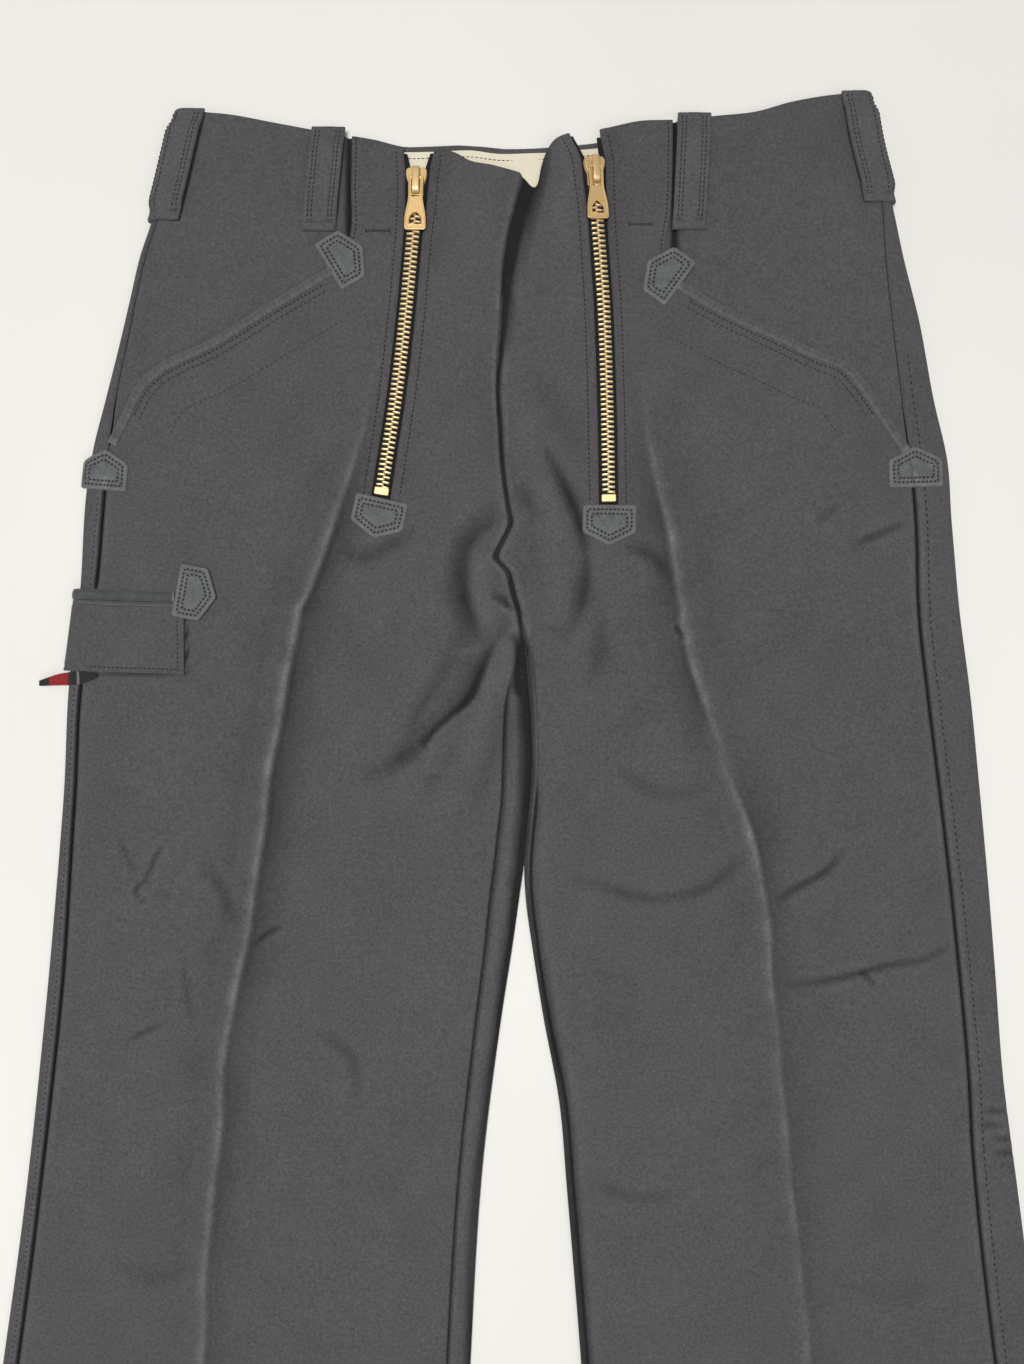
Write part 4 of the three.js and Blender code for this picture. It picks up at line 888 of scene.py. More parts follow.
    def brass(self):
        material, n, shader = self.start("Aged brass", Metallic=0.7)
        rubbed = self.placed(n, self.wear, Reach=1.0, Patchiness=0.5)
        tarnish = n.span(n.noise(n.place(), 420.0, 6.0, 0.65), 0.36, 0.7)
        zip_settings = self.settings.zips
        base = n.mix(tarnish, (*zip_settings.brass_colour, 1), (0.56, 0.37, 0.17, 1))
        n.feed(n.mix(rubbed["Mask"], base, (0.96, 0.76, 0.44, 1)), shader.inputs["Base Color"])
        n.feed(n.span(tarnish, 0, 1, 0.38, 0.56), shader.inputs["Roughness"])
        scratch = n.noise(n.scaled(n.place(), (400.0, 4200.0, 900.0), 0.4), 1.0, 2.0)
        relief = n.add("ShaderNodeBump", {"Strength": 0.2, "Distance": 0.0002, "Height": scratch})
        n.feed(relief.outputs[0], shader.inputs["Normal"])
        return material

    def label(self):
        material, n, shader = self.start("Woven label", Sheen_Weight=0.2, Specular_IOR_Level=0.2)
        weave = self.placed(n, self.twill, Ribs_per_metre=2200.0, Nap=0.2)
        band = n.add("ShaderNodeAttribute", attribute_name="band").outputs["Color"]
        shade = n.span(weave["Tone"], 0.2, 0.8, 0.8, 1.15)
        grey = n.add("ShaderNodeCombineColor", {0: shade, 1: shade, 2: shade}).outputs[0]
        n.feed(n.mix(1.0, band, grey, "MULTIPLY"), shader.inputs["Base Color"])
        n.feed(n.span(weave["Tone"], 0, 1, 0.85, 0.7), shader.inputs["Roughness"])
        relief = n.add("ShaderNodeBump", {"Strength": 0.5, "Distance": 0.0002, "Height": weave["Height"]})
        n.feed(relief.outputs[0], shader.inputs["Normal"])
        return material

    def floor(self):
        material, n, shader = self.start("White cloth ground", Specular_IOR_Level=0.15)
        soft = n.noise(n.place(), 2.2, 3.0)
        pale = (*self.settings.stage.floor_colour, 1)
        n.feed(n.mix(n.span(soft, 0.3, 0.7), pale, tuple(0.93 * c for c in pale[:3]) + (1,)), shader.inputs["Base Color"])
        n.feed(n.span(soft, 0, 1, 0.95, 0.9), shader.inputs["Roughness"])
        return material


# Sizes and colours that can be changed in the sidebar


class ClothSettings(bpy.types.PropertyGroup):
    colour: FloatVectorProperty(
        name="Cloth", description="Moleskin where it isn't worn", subtype="COLOR",
        size=3, default=(0.0735, 0.0705, 0.073), min=0, max=1,
    )
    # The pale colour of rubbed cloth, also used for the painted highlight on the lit side of the creases and
    # for the dust bloom.
    rubbed_and_highlight_colour: FloatVectorProperty(
        name="Rubbed cloth", description="Moleskin along pressed creases and edges", subtype="COLOR",
        size=3, default=(0.15, 0.148, 0.155), min=0, max=1,
    )
    row_step: FloatProperty(
        name="Row step", description="Distance between the mesh's rows over the hips and thighs",
        default=0.0024, min=0.0015, max=0.01, unit="LENGTH",
    )


class TrimSettings(bpy.types.PropertyGroup):
    leather_colour: FloatVectorProperty(
        name="Leather", description="Split leather of the patches and bindings", subtype="COLOR",
        size=3, default=(0.085, 0.09, 0.092), min=0, max=1,
    )
    lining_colour: FloatVectorProperty(
        name="Lining", description="Cotton inside the back waist", subtype="COLOR",
        size=3, default=(0.82, 0.77, 0.62), min=0, max=1,
    )
    stitch_length: FloatProperty(
        name="Stitch", description="Length of one stitch", default=0.0027, min=0.001, max=0.006,
        unit="LENGTH",
    )


class ZipSettings(bpy.types.PropertyGroup):
    brass_colour: FloatVectorProperty(
        name="Brass", description="Brass of the teeth, sliders and pulls", subtype="COLOR",
        size=3, default=(0.8, 0.52, 0.21), min=0, max=1,
    )
    tooth_pitch: FloatProperty(
        name="Tooth pitch", description="Distance from one tooth to the next on the same side",
        default=0.003, min=0.0015, max=0.005, unit="LENGTH",
    )


class StageSettings(bpy.types.PropertyGroup):
    floor_colour: FloatVectorProperty(
        name="Floor", description="Pale ground under the trousers", subtype="COLOR",
        size=3, default=(0.8, 0.785, 0.75), min=0, max=1,
    )
    camera_place: FloatVectorProperty(
        name="Camera", description="Where the camera stands, looking straight down",
        subtype="TRANSLATION", size=3, default=(-0.0077, 0.2237, 0.62),
    )
    lens: FloatProperty(name="Lens", description="Focal length in millimetres", default=27.0, min=10, max=200)


class TrousersSettings(bpy.types.PropertyGroup):
    cloth: PointerProperty(type=ClothSettings, name="Cloth", description="Cloth of the trousers")
    trim: PointerProperty(type=TrimSettings, name="Trim", description="Leather, lining and thread")
    zips: PointerProperty(type=ZipSettings, name="Zips", description="Both front zips")
    stage: PointerProperty(type=StageSettings, name="Stage", description="Floor, light and camera")


FINISHES = {}


def finish_of(context, name):
    if "all" not in FINISHES:
        FINISHES["all"] = Finishes(context.scene.trousers)
    return FINISHES["all"].get(name)


# The big panels


def panel_rows(step):
    """Rows from the waist edge to the hem, closer together down to the knee."""
    upper = np.concatenate([[0, 0.4, 0.9, 1.6], np.arange(step, 350, step)])
    middle = np.arange(upper[-1] + step, 665, step * 1.15)
    lower = np.arange(middle[-1] + 3, HEM - 3, 6.0)
    return np.concatenate([upper, middle, lower, [HEM]])


def settle(x_of, rows, waist, hem_inner, start):
    """Places on an edge that is given by drop, for rows that bend with the waist edge."""
    x = start
    for _ in range(6):
        x = x_of(row_drop(rows, x, waist, hem_inner))
    return x


def front_edges(leg, rows):
    """The knots between which the columns of a front panel run, from the side to the middle."""
    sign, half = leg.sign, SEAM_GAP / 2
    closed = bell(rows - 20, 40) + bell(rows - 308, 20) + (rows > 300) * (1 - leg.seam_shows(rows))

    def outer_at(drop):
        seam = leg.side_seam(drop) - sign * half
        return np.where(drop < leg.mouth_end, leg.mouth.at("x", drop), seam)

    outer = settle(outer_at, rows, FRONT_WAIST, leg.hem_inner, outer_at(rows))
    middle_x = np.where(rows < WAIST_FADE, 15.5, leg.inner_seam(np.maximum(rows, FORK)) * (rows > FORK))
    inner = leg.inner_seam(row_drop(rows, middle_x, FRONT_WAIST, leg.hem_inner))
    inner = inner + sign * half * (1 - 0.85 * np.clip(closed, 0, 1))
    crease = leg.crease.at("x", np.maximum(rows, leg.crease.data[0, 0]))
    beside = crease - sign * 5

    above = np.minimum(rows, leg.slot_end)
    slots = []
    for part in ("placket", "fall"):
        start = leg.slot_edge(part, above)
        slots.append(
            settle(lambda drop: leg.slot_edge(part, drop), above, FRONT_WAIST, leg.hem_inner, start)
        )
    at_end = np.argmax(rows >= leg.slot_end)
    for k, slot in enumerate(slots):
        share = (slot[at_end] - beside[at_end]) / (inner[at_end] - beside[at_end])
        share = mix(share, 0.2 + 0.12 * k, smooth(rows, leg.slot_end, leg.slot_end + 120))
        slots[k] = np.where(rows >= leg.slot_end, mix(beside, inner, share), slot)
    near_seam = inner + sign * 15
    outer_crease = crease + sign * 5
    return [
        outer, outer - sign * EDGE, outer_crease, beside, slots[0] + sign * EDGE, slots[0],
        slots[1], slots[1] - sign * EDGE, near_seam, inner + sign * EDGE, inner,
    ]


def curvature(x, drop, step):
    """Positive on ridges and negative in hollows."""
    here = front_height(x, drop)
    beside = front_height(x - step, drop) + front_height(x + step, drop)
    along = front_height(x, drop - step) + front_height(x, drop + step)
    return 4 * here - beside - along


def crease_rubbing_and_highlight(x, drop):
    """Where the pressed creases are rubbed pale, in a narrow line along each of them, beside the
    ridge on its lit side, so that it is also a painted highlight.
    """
    total = 0.0
    for leg in LEGS.values():
        away = beside_crease(leg, x, drop)
        strength = np.clip(crease_height(leg, drop) / 4, 0, 0.8)
        patchy = 0.62 + 0.38 * np.sin(drop / 11.0) * np.sin(drop / 4.3 + 1)

        def line(a):
            return bell(a + 1.8, np.where(a > -1.8, 1.5, 3.4))

        total = total + strength * patchy * mix(line(-away), line(away), leg.crease.at("right", drop))
    return total


def painted_shade_places(x, drop):
    """Painted shade by x and drop: on the steep side of the creases, along the seams, under the edge
    of the fall's right half, where the legs meet, round the right leg's inner fold and along the rule pocket's
    edges."""
    total = 0.0
    for leg in LEGS.values():
        away = beside_crease(leg, x, drop)
        strength = np.clip(crease_height(leg, drop) / 4, 0, 1)

        def beyond(a):
            # Painted shade on the steep side of a crease, fading away from it.
            dark = 0.24 * np.exp(-np.maximum(a, 0) / 3) + 0.3 * (1 - smooth(a, 4, 19))
            return dark * smooth(a, -0.6, 0.8)

        total = total + strength * mix(beyond(-away), beyond(away), leg.crease.at("right", drop))
        below = smooth(drop, leg.mouth_end, leg.mouth_end + 10)
        total = total + 1.1 * bell(x - leg.side_seam(drop), 0.95) * below
        total = total + 0.9 * bell(x - leg.inner_seam(drop), 0.8) * leg.seam_shows(drop)
        total = total + 0.5 * bell(x - leg.inner(drop), 2.5) * smooth(drop, 440, 470)
    # Painted shadow under the overhanging edge of the fall's right half.
    away = x - GROOVE.at("x", np.clip(drop, 30, 325))
    reach = np.where(away < 0, 0.8, 0.55 * np.maximum(GROOVE.at("soft", drop), 1.6))
    share = np.clip(GROOVE.at("share", drop), 0, 1) * (drop < 325)
    total = total + 1.1 * share * bell(away, reach)
    between_legs = x - (RIGHT.inner(drop) + LEFT.inner(drop)) / 2
    near = smooth(drop, 308, 330) * (1 - smooth(drop, 452, 470))
    total = total + 1.2 * near * bell(between_legs, 2.2 + 1.6 * bell(drop - 330, 22))
    from_fold = np.where(x < RIGHT.inner(drop), RIGHT.inner(drop) - x, 99)
    rolled = smooth(drop, 322, 342) * (1 - smooth(drop, 430, 520))
    total = total + 0.75 * rolled * (1 - smooth(from_fold, 1, 11))
    # Painted shade along the rule pocket's side and foot.
    beside_pocket = smooth(drop, 303, 305) * (1 - smooth(drop, 338, 340))
    total = total + 1.0 * beside_pocket * bell(x + 195.6, 0.9)
    foot = drop - 339.3 - RULE_SLANT * (x + 196.5)
    return total + 0.7 * bell(foot, 0.8) * (x < -196)


def store(obj, name, values):
    """Keeps a number at each point of the mesh for the finish to read."""
    layer = obj.data.attributes.new(name, "FLOAT", "POINT")
    layer.data.foreach_set("value", np.ascontiguousarray(values, dtype=np.float32))


def paint_rubbing_and_shade(obj, extra=0.0, shade=None):
    """Stores where a cloth piece is rubbed pale, with a painted highlight on the lit side of the
    creases, and the painted shade that darkens it in hollows. shade adds more painted shade by x and drop."""
    points = np.empty(len(obj.data.vertices) * 3, np.float32)
    obj.data.vertices.foreach_get("co", points)
    points = points.reshape(-1, 3) * 1000
    x, drop = points[:, 0] + CENTRE_X, CENTRE_DROP - points[:, 1]
    shown = points[:, 2] > 2.2
    # Pale where the cloth is rubbed on ridges and along the creases; on the lit side of each crease this is
    # also a painted highlight.
    ridges = 0.2 * np.clip(curvature(x, drop, 3.2), 0, 1)
    store(obj, "rubbed", np.clip(crease_rubbing_and_highlight(x, drop) + ridges, 0, 1) * shown + extra)
    # Painted shade in the hollows, from the curvature of the front at three sizes.
    hollow = 0.3 * np.clip(-curvature(x, drop, 3.0), 0, 1) + 0.07 * np.clip(-curvature(x, drop, 8.0), 0, 5)
    hollow = hollow + 0.05 * np.clip(-curvature(x, drop, 16.0), 0, 6)
    if shade is not None:
        hollow = hollow + shade(x, drop)
    store(obj, "hollow", np.clip(hollow, 0, 1) * shown)


def build_front(context, leg):
    rows = panel_rows(context.scene.trousers.cloth.row_step * 1000)
    counts = (4, 52, 11, 8, 4, 4, 4, 40, 10, 5)
    x = lanes(front_edges(leg, rows), counts)
    drop = row_drop(rows[:, None], x, FRONT_WAIST, leg.hem_inner)
    edge_gap = np.abs(x - x[:, :1])
    first = sum(counts[:5])
    last = first + counts[5]
    from_slot = np.minimum(np.abs(x - x[:, first][:, None]), np.abs(x - x[:, last][:, None]))
    open_rows = rows[:, None] < leg.slot_end
    roll = turned_down(np.where(open_rows, np.minimum(edge_gap, from_slot), edge_gap), 0.8, 1.7)
    at_seam = smooth(rows, 45, 90) * np.maximum(1 - smooth(rows, 278, 296), leg.seam_shows(rows))
    roll = roll + turned_down(x - x[:, -1:], 0.8, 1.7) * at_seam[:, None]
    roll = roll + turned_down(rows[:, None] - rows[0]) + 0 * x
    upper = on_front(x, drop, roll)
    lower = on_front(x, drop, -CLOTH)
    keep = np.ones((len(rows) - 1, x.shape[1] - 1), bool)
    keep[: np.argmax(rows >= leg.slot_end), first:last] = False
    obj = sheet_between(f"front_{leg.name}", upper, lower, finish_of(context, "moleskin"), keep)
    paint_rubbing_and_shade(obj, 0, painted_shade_places)
    return place(obj, "moleskin", f"front_{leg.name}")


def build_back(context, leg):
    """A back panel: from the side seam round the outer fold, along the table, and below the
    fork up round the inner fold to the inside seam."""
    sign, hem_inner, half = leg.sign, leg.hem_inner, SEAM_GAP / 2
    rows = panel_rows(3.6)
    at_side = row_drop(rows, leg.side_seam(rows), BACK_WAIST, hem_inner)
    edge = leg.outer(at_side)
    seam = leg.side_seam(at_side) + sign * half
    fork = np.maximum(rows, FORK)
    inner = leg.inner(fork)
    inner_drop = row_drop(rows, inner, BACK_WAIST, hem_inner)
    inside_seam = leg.inner_seam(np.maximum(rows, LEGS_PARTED)) - sign * half
    wrap = smooth(rows, FORK - 24, FORK - 8)[:, None, None]
    tucked = -(TUCK + 0.3) * (1 - smooth(rows, FORK + 2, FORK + 16))[:, None]
    strip, turns = 14, 14

    def layer(lift):
        shown = (np.arange(strip) / strip) ** 1.6
        x = mix(seam[:, None], (edge - sign * ROLL)[:, None], shown[None, :])
        roll = turned_down(x - seam[:, None], 0.9, 1.8) if lift == 0 else 0
        parts = [on_front(x, at_side[:, None], lift + roll)]
        angle = np.linspace(0, math.pi, turns)[None, :]
        parts.append(on_fold(edge[:, None], sign, at_side[:, None] + 0 * angle, angle, lift))
        flat_x = mix(edge[:, None], inner[:, None], np.linspace(0.12, 0.88, 12)[None, :])

        def table(at):
            down = row_drop(rows[:, None], at, BACK_WAIST, hem_inner)
            return np.stack([at, -down, np.full_like(at, -lift)], -1)

        parts.append(table(flat_x))
        start = (inner + sign * (ROLL + 8))[:, None]
        shares = np.linspace(0, 1, turns + 4)[None, :]
        flat = table(mix(start, (inner + sign * 0.03)[:, None], shares))
        up = np.linspace(math.pi, 0, turns)[None, :]
        fold_lift = lift + tucked * np.clip(1 - 2 * up / math.pi, 0, 1)
        fold = on_fold(inner[:, None], -sign, inner_drop[:, None] + 0 * up, up, fold_lift)
        beside = mix((inner + sign * ROLL)[:, None], inside_seam[:, None], np.linspace(0.25, 1, 4)[None, :])
        shows = leg.seam_shows(rows)[:, None]
        seam_roll = turned_down(beside - inside_seam[:, None], 0.9, 1.8) * shows if lift == 0 else 0
        top = on_front(beside, inner_drop[:, None], lift + tucked + seam_roll)
        parts.append(mix(flat, np.concatenate([fold, top], axis=1), wrap))
        return np.concatenate(parts, axis=1)

    obj = sheet_between(f"back_{leg.name}", layer(0), layer(-CLOTH), finish_of(context, "moleskin"))
    paint_rubbing_and_shade(obj, 0, painted_shade_places)
    return place(obj, "moleskin", f"back_{leg.name}")


def slant_of(leg):
    """The slanting pocket mouth as a curve over the distance out from the middle."""
    points = leg.mouth.data[MOUTH_BEND:]
    return Table("out drop", *[(abs(x), drop) for drop, x in points])


def build_facing(context, leg):
    """The piece above a pocket mouth. It is level with the back at the side seam and tucked
    under the front along the mouth and the placket."""
    sign, margin = leg.sign, 9
    slant = slant_of(leg)
    placket = abs(leg.mouth.data[0, 1]) - margin
    parts = np.concatenate([np.linspace(0, 0.8, 40), np.linspace(0.81, 1, 34)])
    low_out = np.full_like(parts, 160.0)
    for _ in range(12):
        low = slant.at("drop", np.maximum(low_out, slant.data[0, 0])) + margin
        seam = np.abs(leg.side_seam(low)) - 2 * SEAM_GAP
        low_out = mix(seam, placket, parts)
    shares = np.linspace(0, 1, 70)[:, None]
    out = mix(low_out, low_out, shares)
    for _ in range(8):
        top = FRONT_WAIST.at("drop", sign * out)
        drop = mix(top, low, shares)
        seam = np.abs(leg.side_seam(drop)) - 2 * SEAM_GAP
        out = mix(seam, placket, parts)
    near_side = 1 - smooth(seam - out, 2, 14)
    above_mouth = smooth(slant.at("drop", np.maximum(out, slant.data[0, 0])) - drop, 6, 26)
    lift = -(TUCK + SEAM_GAP / 2) * (1 - near_side * above_mouth)
    lift = lift - 2.7 * bell(out - placket - margin - 1.4, 2.2) * above_mouth
    upper = on_front(sign * out, drop, lift)
    lower = on_front(sign * out, drop, lift - CLOTH)
    obj = sheet_between(f"pocket_facing_{leg.name}", upper, lower, finish_of(context, "moleskin"))

    # Painted shade in the slit between the placket's edge and the belt loop.
    def painted_slit_shade(x, drop):
        return 1.3 * bell(np.abs(x) - placket - margin - 1.2, 2.2)

    paint_rubbing_and_shade(obj, 0, painted_slit_shade)
    return place(obj, "moleskin", f"pocket_facing_{leg.name}")


# Leather binding along the pocket mouths

BINDING = Table(
    "turn out up foot_out foot_up",
    (0, -4.2, 0.5, -4.2, 0.25),
    (1, -3.7, 1.2, -3.7, 0.25),
    (2, -2.9, 1.6, -3.0, 0.3),
    (3, -1.9, 1.8, -2.1, 0.35),
    (4, -0.8, 1.85, -1.2, 0.4),
    (5, 0.3, 1.7, -0.3, 0.4),
    (6, 1.0, 1.3, 0.2, 0.3),
    (7, 1.35, 0.6, 0.4, 0.1),
    (8, 1.4, -0.3, 0.45, -0.4),
    (9, 1.3, -0.8, 0.45, -0.8),
)


def build_piping(context, leg):
    mouth = leg.mouth.data[:, ::-1]
    first = mouth[MOUTH_BEND] - (leg.sign * 3.5, 2.2)
    last = mouth[-1] - (leg.sign * 0.8, 2)
    at, middle, way = path_points([first, *mouth[MOUTH_BEND + 1 : -1], last], 1.1)
    outwards = np.stack([way[:, 1], -way[:, 0]], -1) * leg.sign
    section = BINDING.data[None, :, 1:]
    pinch = 0.08 * np.sin(at * 1.9) + 0.06 * np.sin(at * 3.1 + 1.0) + 0.1 * np.sin(at * 0.7)
    pinch = pinch[:, None] * bell(section[..., 0] + 2, 3.2)
    ends = smooth(np.minimum(at, at[-1] - at), 0, 1.4)[:, None]

    def layer(out, up):
        x = middle[:, :1] + outwards[:, :1] * out
        drop = middle[:, 1:] + outwards[:, 1:] * out
        return on_garment(leg, x, drop, up)

    upper = layer(section[..., 0], mix(section[..., 3], section[..., 1] + pinch, 0.35 + 0.65 * ends))
    lower = layer(section[..., 2], section[..., 3] + 0 * at[:, None])
    obj = sheet_between(f"pocket_piping_{leg.name}", upper, lower, finish_of(context, "binding"), None, 40)
    return place(obj, "leather", f"pocket_piping_{leg.name}")


# Lining and belt loops


def build_lining(context):
    x = np.linspace(-84, 70, 90)[None, :]
    share = np.linspace(0, 1, 16)[:, None]
    drop = BACK_WAIST.at("drop", x) + 3.7 + 41 * share
    ripple = 0.22 * np.sin(x / 5.1) * bell(share, 0.4) + 0.3 * np.sin(x / 17.0 + 1)
    tuck = -0.5 * bell(drop - BACK_WAIST.at("drop", x) - 7.6, 0.9)
    upper = np.stack(np.broadcast_arrays(x, -drop, TUCK + LINING + ripple + tuck), -1)
    lower = np.stack(np.broadcast_arrays(x, -drop, np.full_like(drop, TUCK)), -1)
    obj = sheet_between("waist_lining", upper, lower, finish_of(context, "lining"))
    return place(obj, "lining", "waist_lining")


# top is the drop of the loop's upper end, and place_top and place_bottom where its middle lies
# there: x on the front, or the distance round the cloth from the side fold.
LOOPS = (
    ("belt_loop_front_right", RIGHT, 10.5, 62.3, -110, -115.8, False),
    ("belt_loop_front_left", LEFT, 2, 70, 109.5, 106, False),
    ("belt_loop_side_right", RIGHT, 0.5, 66.5, 7, 7.5, True),
    ("belt_loop_side_left", LEFT, -10.2, 66.2, 7, 8, True),
)


def loop_surface(loop, part, along, up):
    """Points on a belt loop: part runs from -0.5 to 0.5 across it."""
    _, leg, top, length, place_top, place_bottom, round_fold = loop
    free = smooth(along, LOOP_SEWN, LOOP_SEWN + 8)
    fall = smooth(length - along, LOOP_SEWN, LOOP_SEWN + 8)
    on = 0 if round_fold else -TUCK
    lift = on + SEAM_GAP + LOOP_ARCH * free * fall + up
    drop = top + along
    middle = mix(place_top, place_bottom, along / length)
    if round_fold:
        return on_cloth(leg.outer(drop), leg.sign, middle + part * LOOP_WIDTH, drop, lift)
    return on_front(middle + part * LOOP_WIDTH, drop, lift)


def build_loop(context, loop):
    part = np.concatenate([[-0.5, -0.49, -0.47], np.linspace(-0.44, 0.44, 23), [0.47, 0.49, 0.5]])[None, :]
    length = loop[3]
    inside = np.linspace(1.5, length - 1.5, 50)
    along = np.concatenate([[0, 0.3, 0.8], inside, [length - 0.8, length - 0.3, length]])[:, None]
    side = (0.5 - np.abs(part)) * LOOP_WIDTH
    end = np.minimum(along, length - along)
    round_off = turned_down(side, 0.8, 1.2) + turned_down(end, 0.8, 1.4)
    rows = sum(-0.28 * bell(part * LOOP_WIDTH - at, 0.45) for at in (-7.2, -5.0, 5.0, 7.2))
    bar = -0.35 * bell(length - along - 4.8, 0.6)
    swell = 0.22 * bell(part * LOOP_WIDTH, 4.2) + 0.12 * np.sin(along / 2.1) * bell(side, 1.5)
    top = np.maximum(LOOP_THICK + round_off + rows + bar + swell, 0.9)
    upper = loop_surface(loop, part, along, top)
    lower = loop_surface(loop, part, along, 0.0)
    obj = sheet_between(loop[0], upper, lower, finish_of(context, "moleskin"))
    paint_rubbing_and_shade(obj, 0.12)
    return place(obj, "moleskin", loop[0])


# Leather patches: the middle of the floor of a small house, the way that its roof points in
# degrees from the waist towards the wearer's left, its width, what it lies on, and whether it
# stands out stiffly past the side fold.
PATCHES = (
    ("patch_pocket_top_right", RIGHT, -110.1, 95.1, 59, PATCH_WIDTH, 0, False),
    ("patch_pocket_top_left", LEFT, 101, 105.3, -54, PATCH_WIDTH, 0, False),
    ("patch_pocket_side_right", RIGHT, -245, 228.2, 5, 28.2, 0, True),
    ("patch_pocket_side_left", LEFT, 241.8, 226.5, -1.5, PATCH_WIDTH, 0, False),
    ("patch_zip_right", RIGHT, -77.4, 233.4, 192.5, PATCH_WIDTH, 0, False),
    ("patch_zip_left", LEFT, 58.5, 237.2, 180.8, PATCH_WIDTH, 0, False),
    ("patch_rule_pocket", RIGHT, -200.7, 287.9, 101, PATCH_WIDTH, TUCK, False),
)


def house(width, inset, corner):
    """The outline of a patch, inset from its edge, with rounded corners and even steps."""
    half = width / 2
    corners = np.array(
        [(-half, 0), (half, 0), (half, PATCH_WALL), (0, PATCH_HEIGHT), (-half, PATCH_WALL)], float
    )
    count = len(corners)
    way = np.roll(corners, -1, 0) - corners
    way /= np.linalg.norm(way, axis=1, keepdims=True)
    inwards = np.stack([-way[:, 1], way[:, 0]], -1)
    moved = []
    for k in range(count):
        a, b = inwards[k - 1], inwards[k]
        moved.append(corners[k] + (a + b) / (1 + a @ b) * inset)
    moved = np.array(moved)
    outline = []
    for k in range(count):
        before, here, after = moved[k - 1], moved[k], moved[(k + 1) % count]
        radius = max(corner - inset * 0.4, 0.5)
        start = here + (before - here) / np.linalg.norm(before - here) * radius
        end = here + (after - here) / np.linalg.norm(after - here) * radius
        for t in np.linspace(0, 1, 7):
            outline.append((1 - t) ** 2 * start + 2 * t * (1 - t) * here + t * t * end)
        nxt = moved[(k + 1) % count]
        nxt_start = nxt + (here - nxt) / np.linalg.norm(here - nxt) * radius
        for t in np.linspace(0, 1, 20)[1:-1]:
            outline.append(mix(end, nxt_start, t))
    return np.array(outline)


def on_patch(patch, places, up):
    """Points over a patch from its own two directions: across its floor and towards its roof."""
    _, leg, x, drop, turn, _, over, stands = patch
    turn = math.radians(turn)
    across, along = places[..., 0], places[..., 1]
    at_x = x + across * math.cos(turn) + along * math.sin(turn)
    at_drop = drop + across * math.sin(turn) - along * math.cos(turn)
    if not stands:
        return on_garment(leg, at_x, at_drop, SEAM_GAP + over + up)
    brink = np.abs(leg.outer(at_drop)) - ROLL - 0.5
    past = np.maximum(np.abs(at_x) - brink, 0)
    held = on_front(leg.sign * np.minimum(np.abs(at_x), brink), at_drop, SEAM_GAP + over + up)
    held[..., 0] += leg.sign * past
    held[..., 2] -= 0.05 * past**2
    return held


PATCH_PROFILE = Table(
    "inset up",
    (0, 0.35), (0.25, 0.85), (0.7, 1.2), (1.4, 1.36), (2.2, 1.3), (2.9, 0.95), (3.6, 1.26),
    (4.3, 1.28), (4.9, 1.22), (5.5, 0.9), (6.1, 1.26), (7.0, 1.42), (8.4, 1.5), (9.8, 1.55),
)


def build_patch(context, patch):
    name, width = patch[0], patch[5]
    rings = []
    for inset, up in PATCH_PROFILE.data:
        outline = house(width, inset, 2.4)
        lump = 0.12 * np.sin(outline[:, 0] * 0.9 + outline[:, 1] * 0.7 + len(name))
        lump += 0.08 * np.sin(outline[:, 0] * 2.3 - outline[:, 1] * 1.9)
        rings.append(on_patch(patch, outline, up + lump * smooth(inset, 1, 5)))
    centre = np.array([[0, PATCH_HEIGHT * 0.46]])
    foot = on_patch(patch, house(width, 0, 2.4), 0.0)
    count = len(rings[0])
    points = np.concatenate([foot, *rings, on_patch(patch, centre, 1.62), on_patch(patch, centre, 0.0)])
    faces = []
    around = [(k, (k + 1) % count) for k in range(count)]
    for level in range(len(rings)):
        low, high = level * count, (level + 1) * count
        faces += [(low + a, low + b, high + b, high + a) for a, b in around]
    crown = len(points) - 2
    last = len(rings) * count
    faces += [(last + a, last + b, crown) for a, b in around]
    faces += [(b, a, crown + 1) for a, b in around]
    middle_up = points[crown, 2] - points[crown + 1, 2]
    turn = np.cross(points[1] - points[0], points[crown + 1] - points[0])[2]
    if turn * middle_up < 0:
        faces = [face[::-1] for face in faces]
    obj = mesh_object(name, points, faces, finish_of(context, "leather"), 60)
    return place(obj, "leather", name)


# The pocket for a folding rule

def wrapped_sheet(context, name, past, right, top, bottom, heights, material, rows, columns):
    """A piece on the right thigh that runs round the side fold, past its outermost place."""
    share = np.linspace(0, 1, rows)[:, None]
    drop = mix(top, bottom, share)
    near = np.linspace(0, 1, columns)[None, :] ** 1.35
    left = RIGHT.outer(drop) - past
    x = mix(left, right, near)
    up = heights(x, drop)
    at = drop + RULE_SLANT * (x - right)
    loose = 2.2 * (1 - smooth(x - left - past, -1, 16))
    upper = on_garment(RIGHT, x, at, SEAM_GAP + up + loose)
    lower = on_garment(RIGHT, x, at, SEAM_GAP + 0 * up + loose)
    upper[..., 2] = np.maximum(upper[..., 2], 0.1)
    lower[..., 2] = np.maximum(lower[..., 2], 0.7)
    return sheet_between(name, upper, lower, finish_of(context, material), None, 45)


def pocket_height(x, drop):
    """Height of the rule pocket's face over the thigh."""
    from_side, from_foot = -196.5 - x, 338.6 - drop
    edge = np.minimum(np.minimum(from_side, from_foot), drop - 298.4)
    stitched_in = -0.4 * bell(from_side - 3.8, 0.8) - 0.4 * bell(from_foot - 2.8, 0.8)
    proud = 0.9 * bell(from_side, 9) + 0.3 * bell(from_foot, 6)
    return np.maximum(CLOTH + turned_down(edge, 0.5, 1.0) + stitched_in + proud, 0.5)


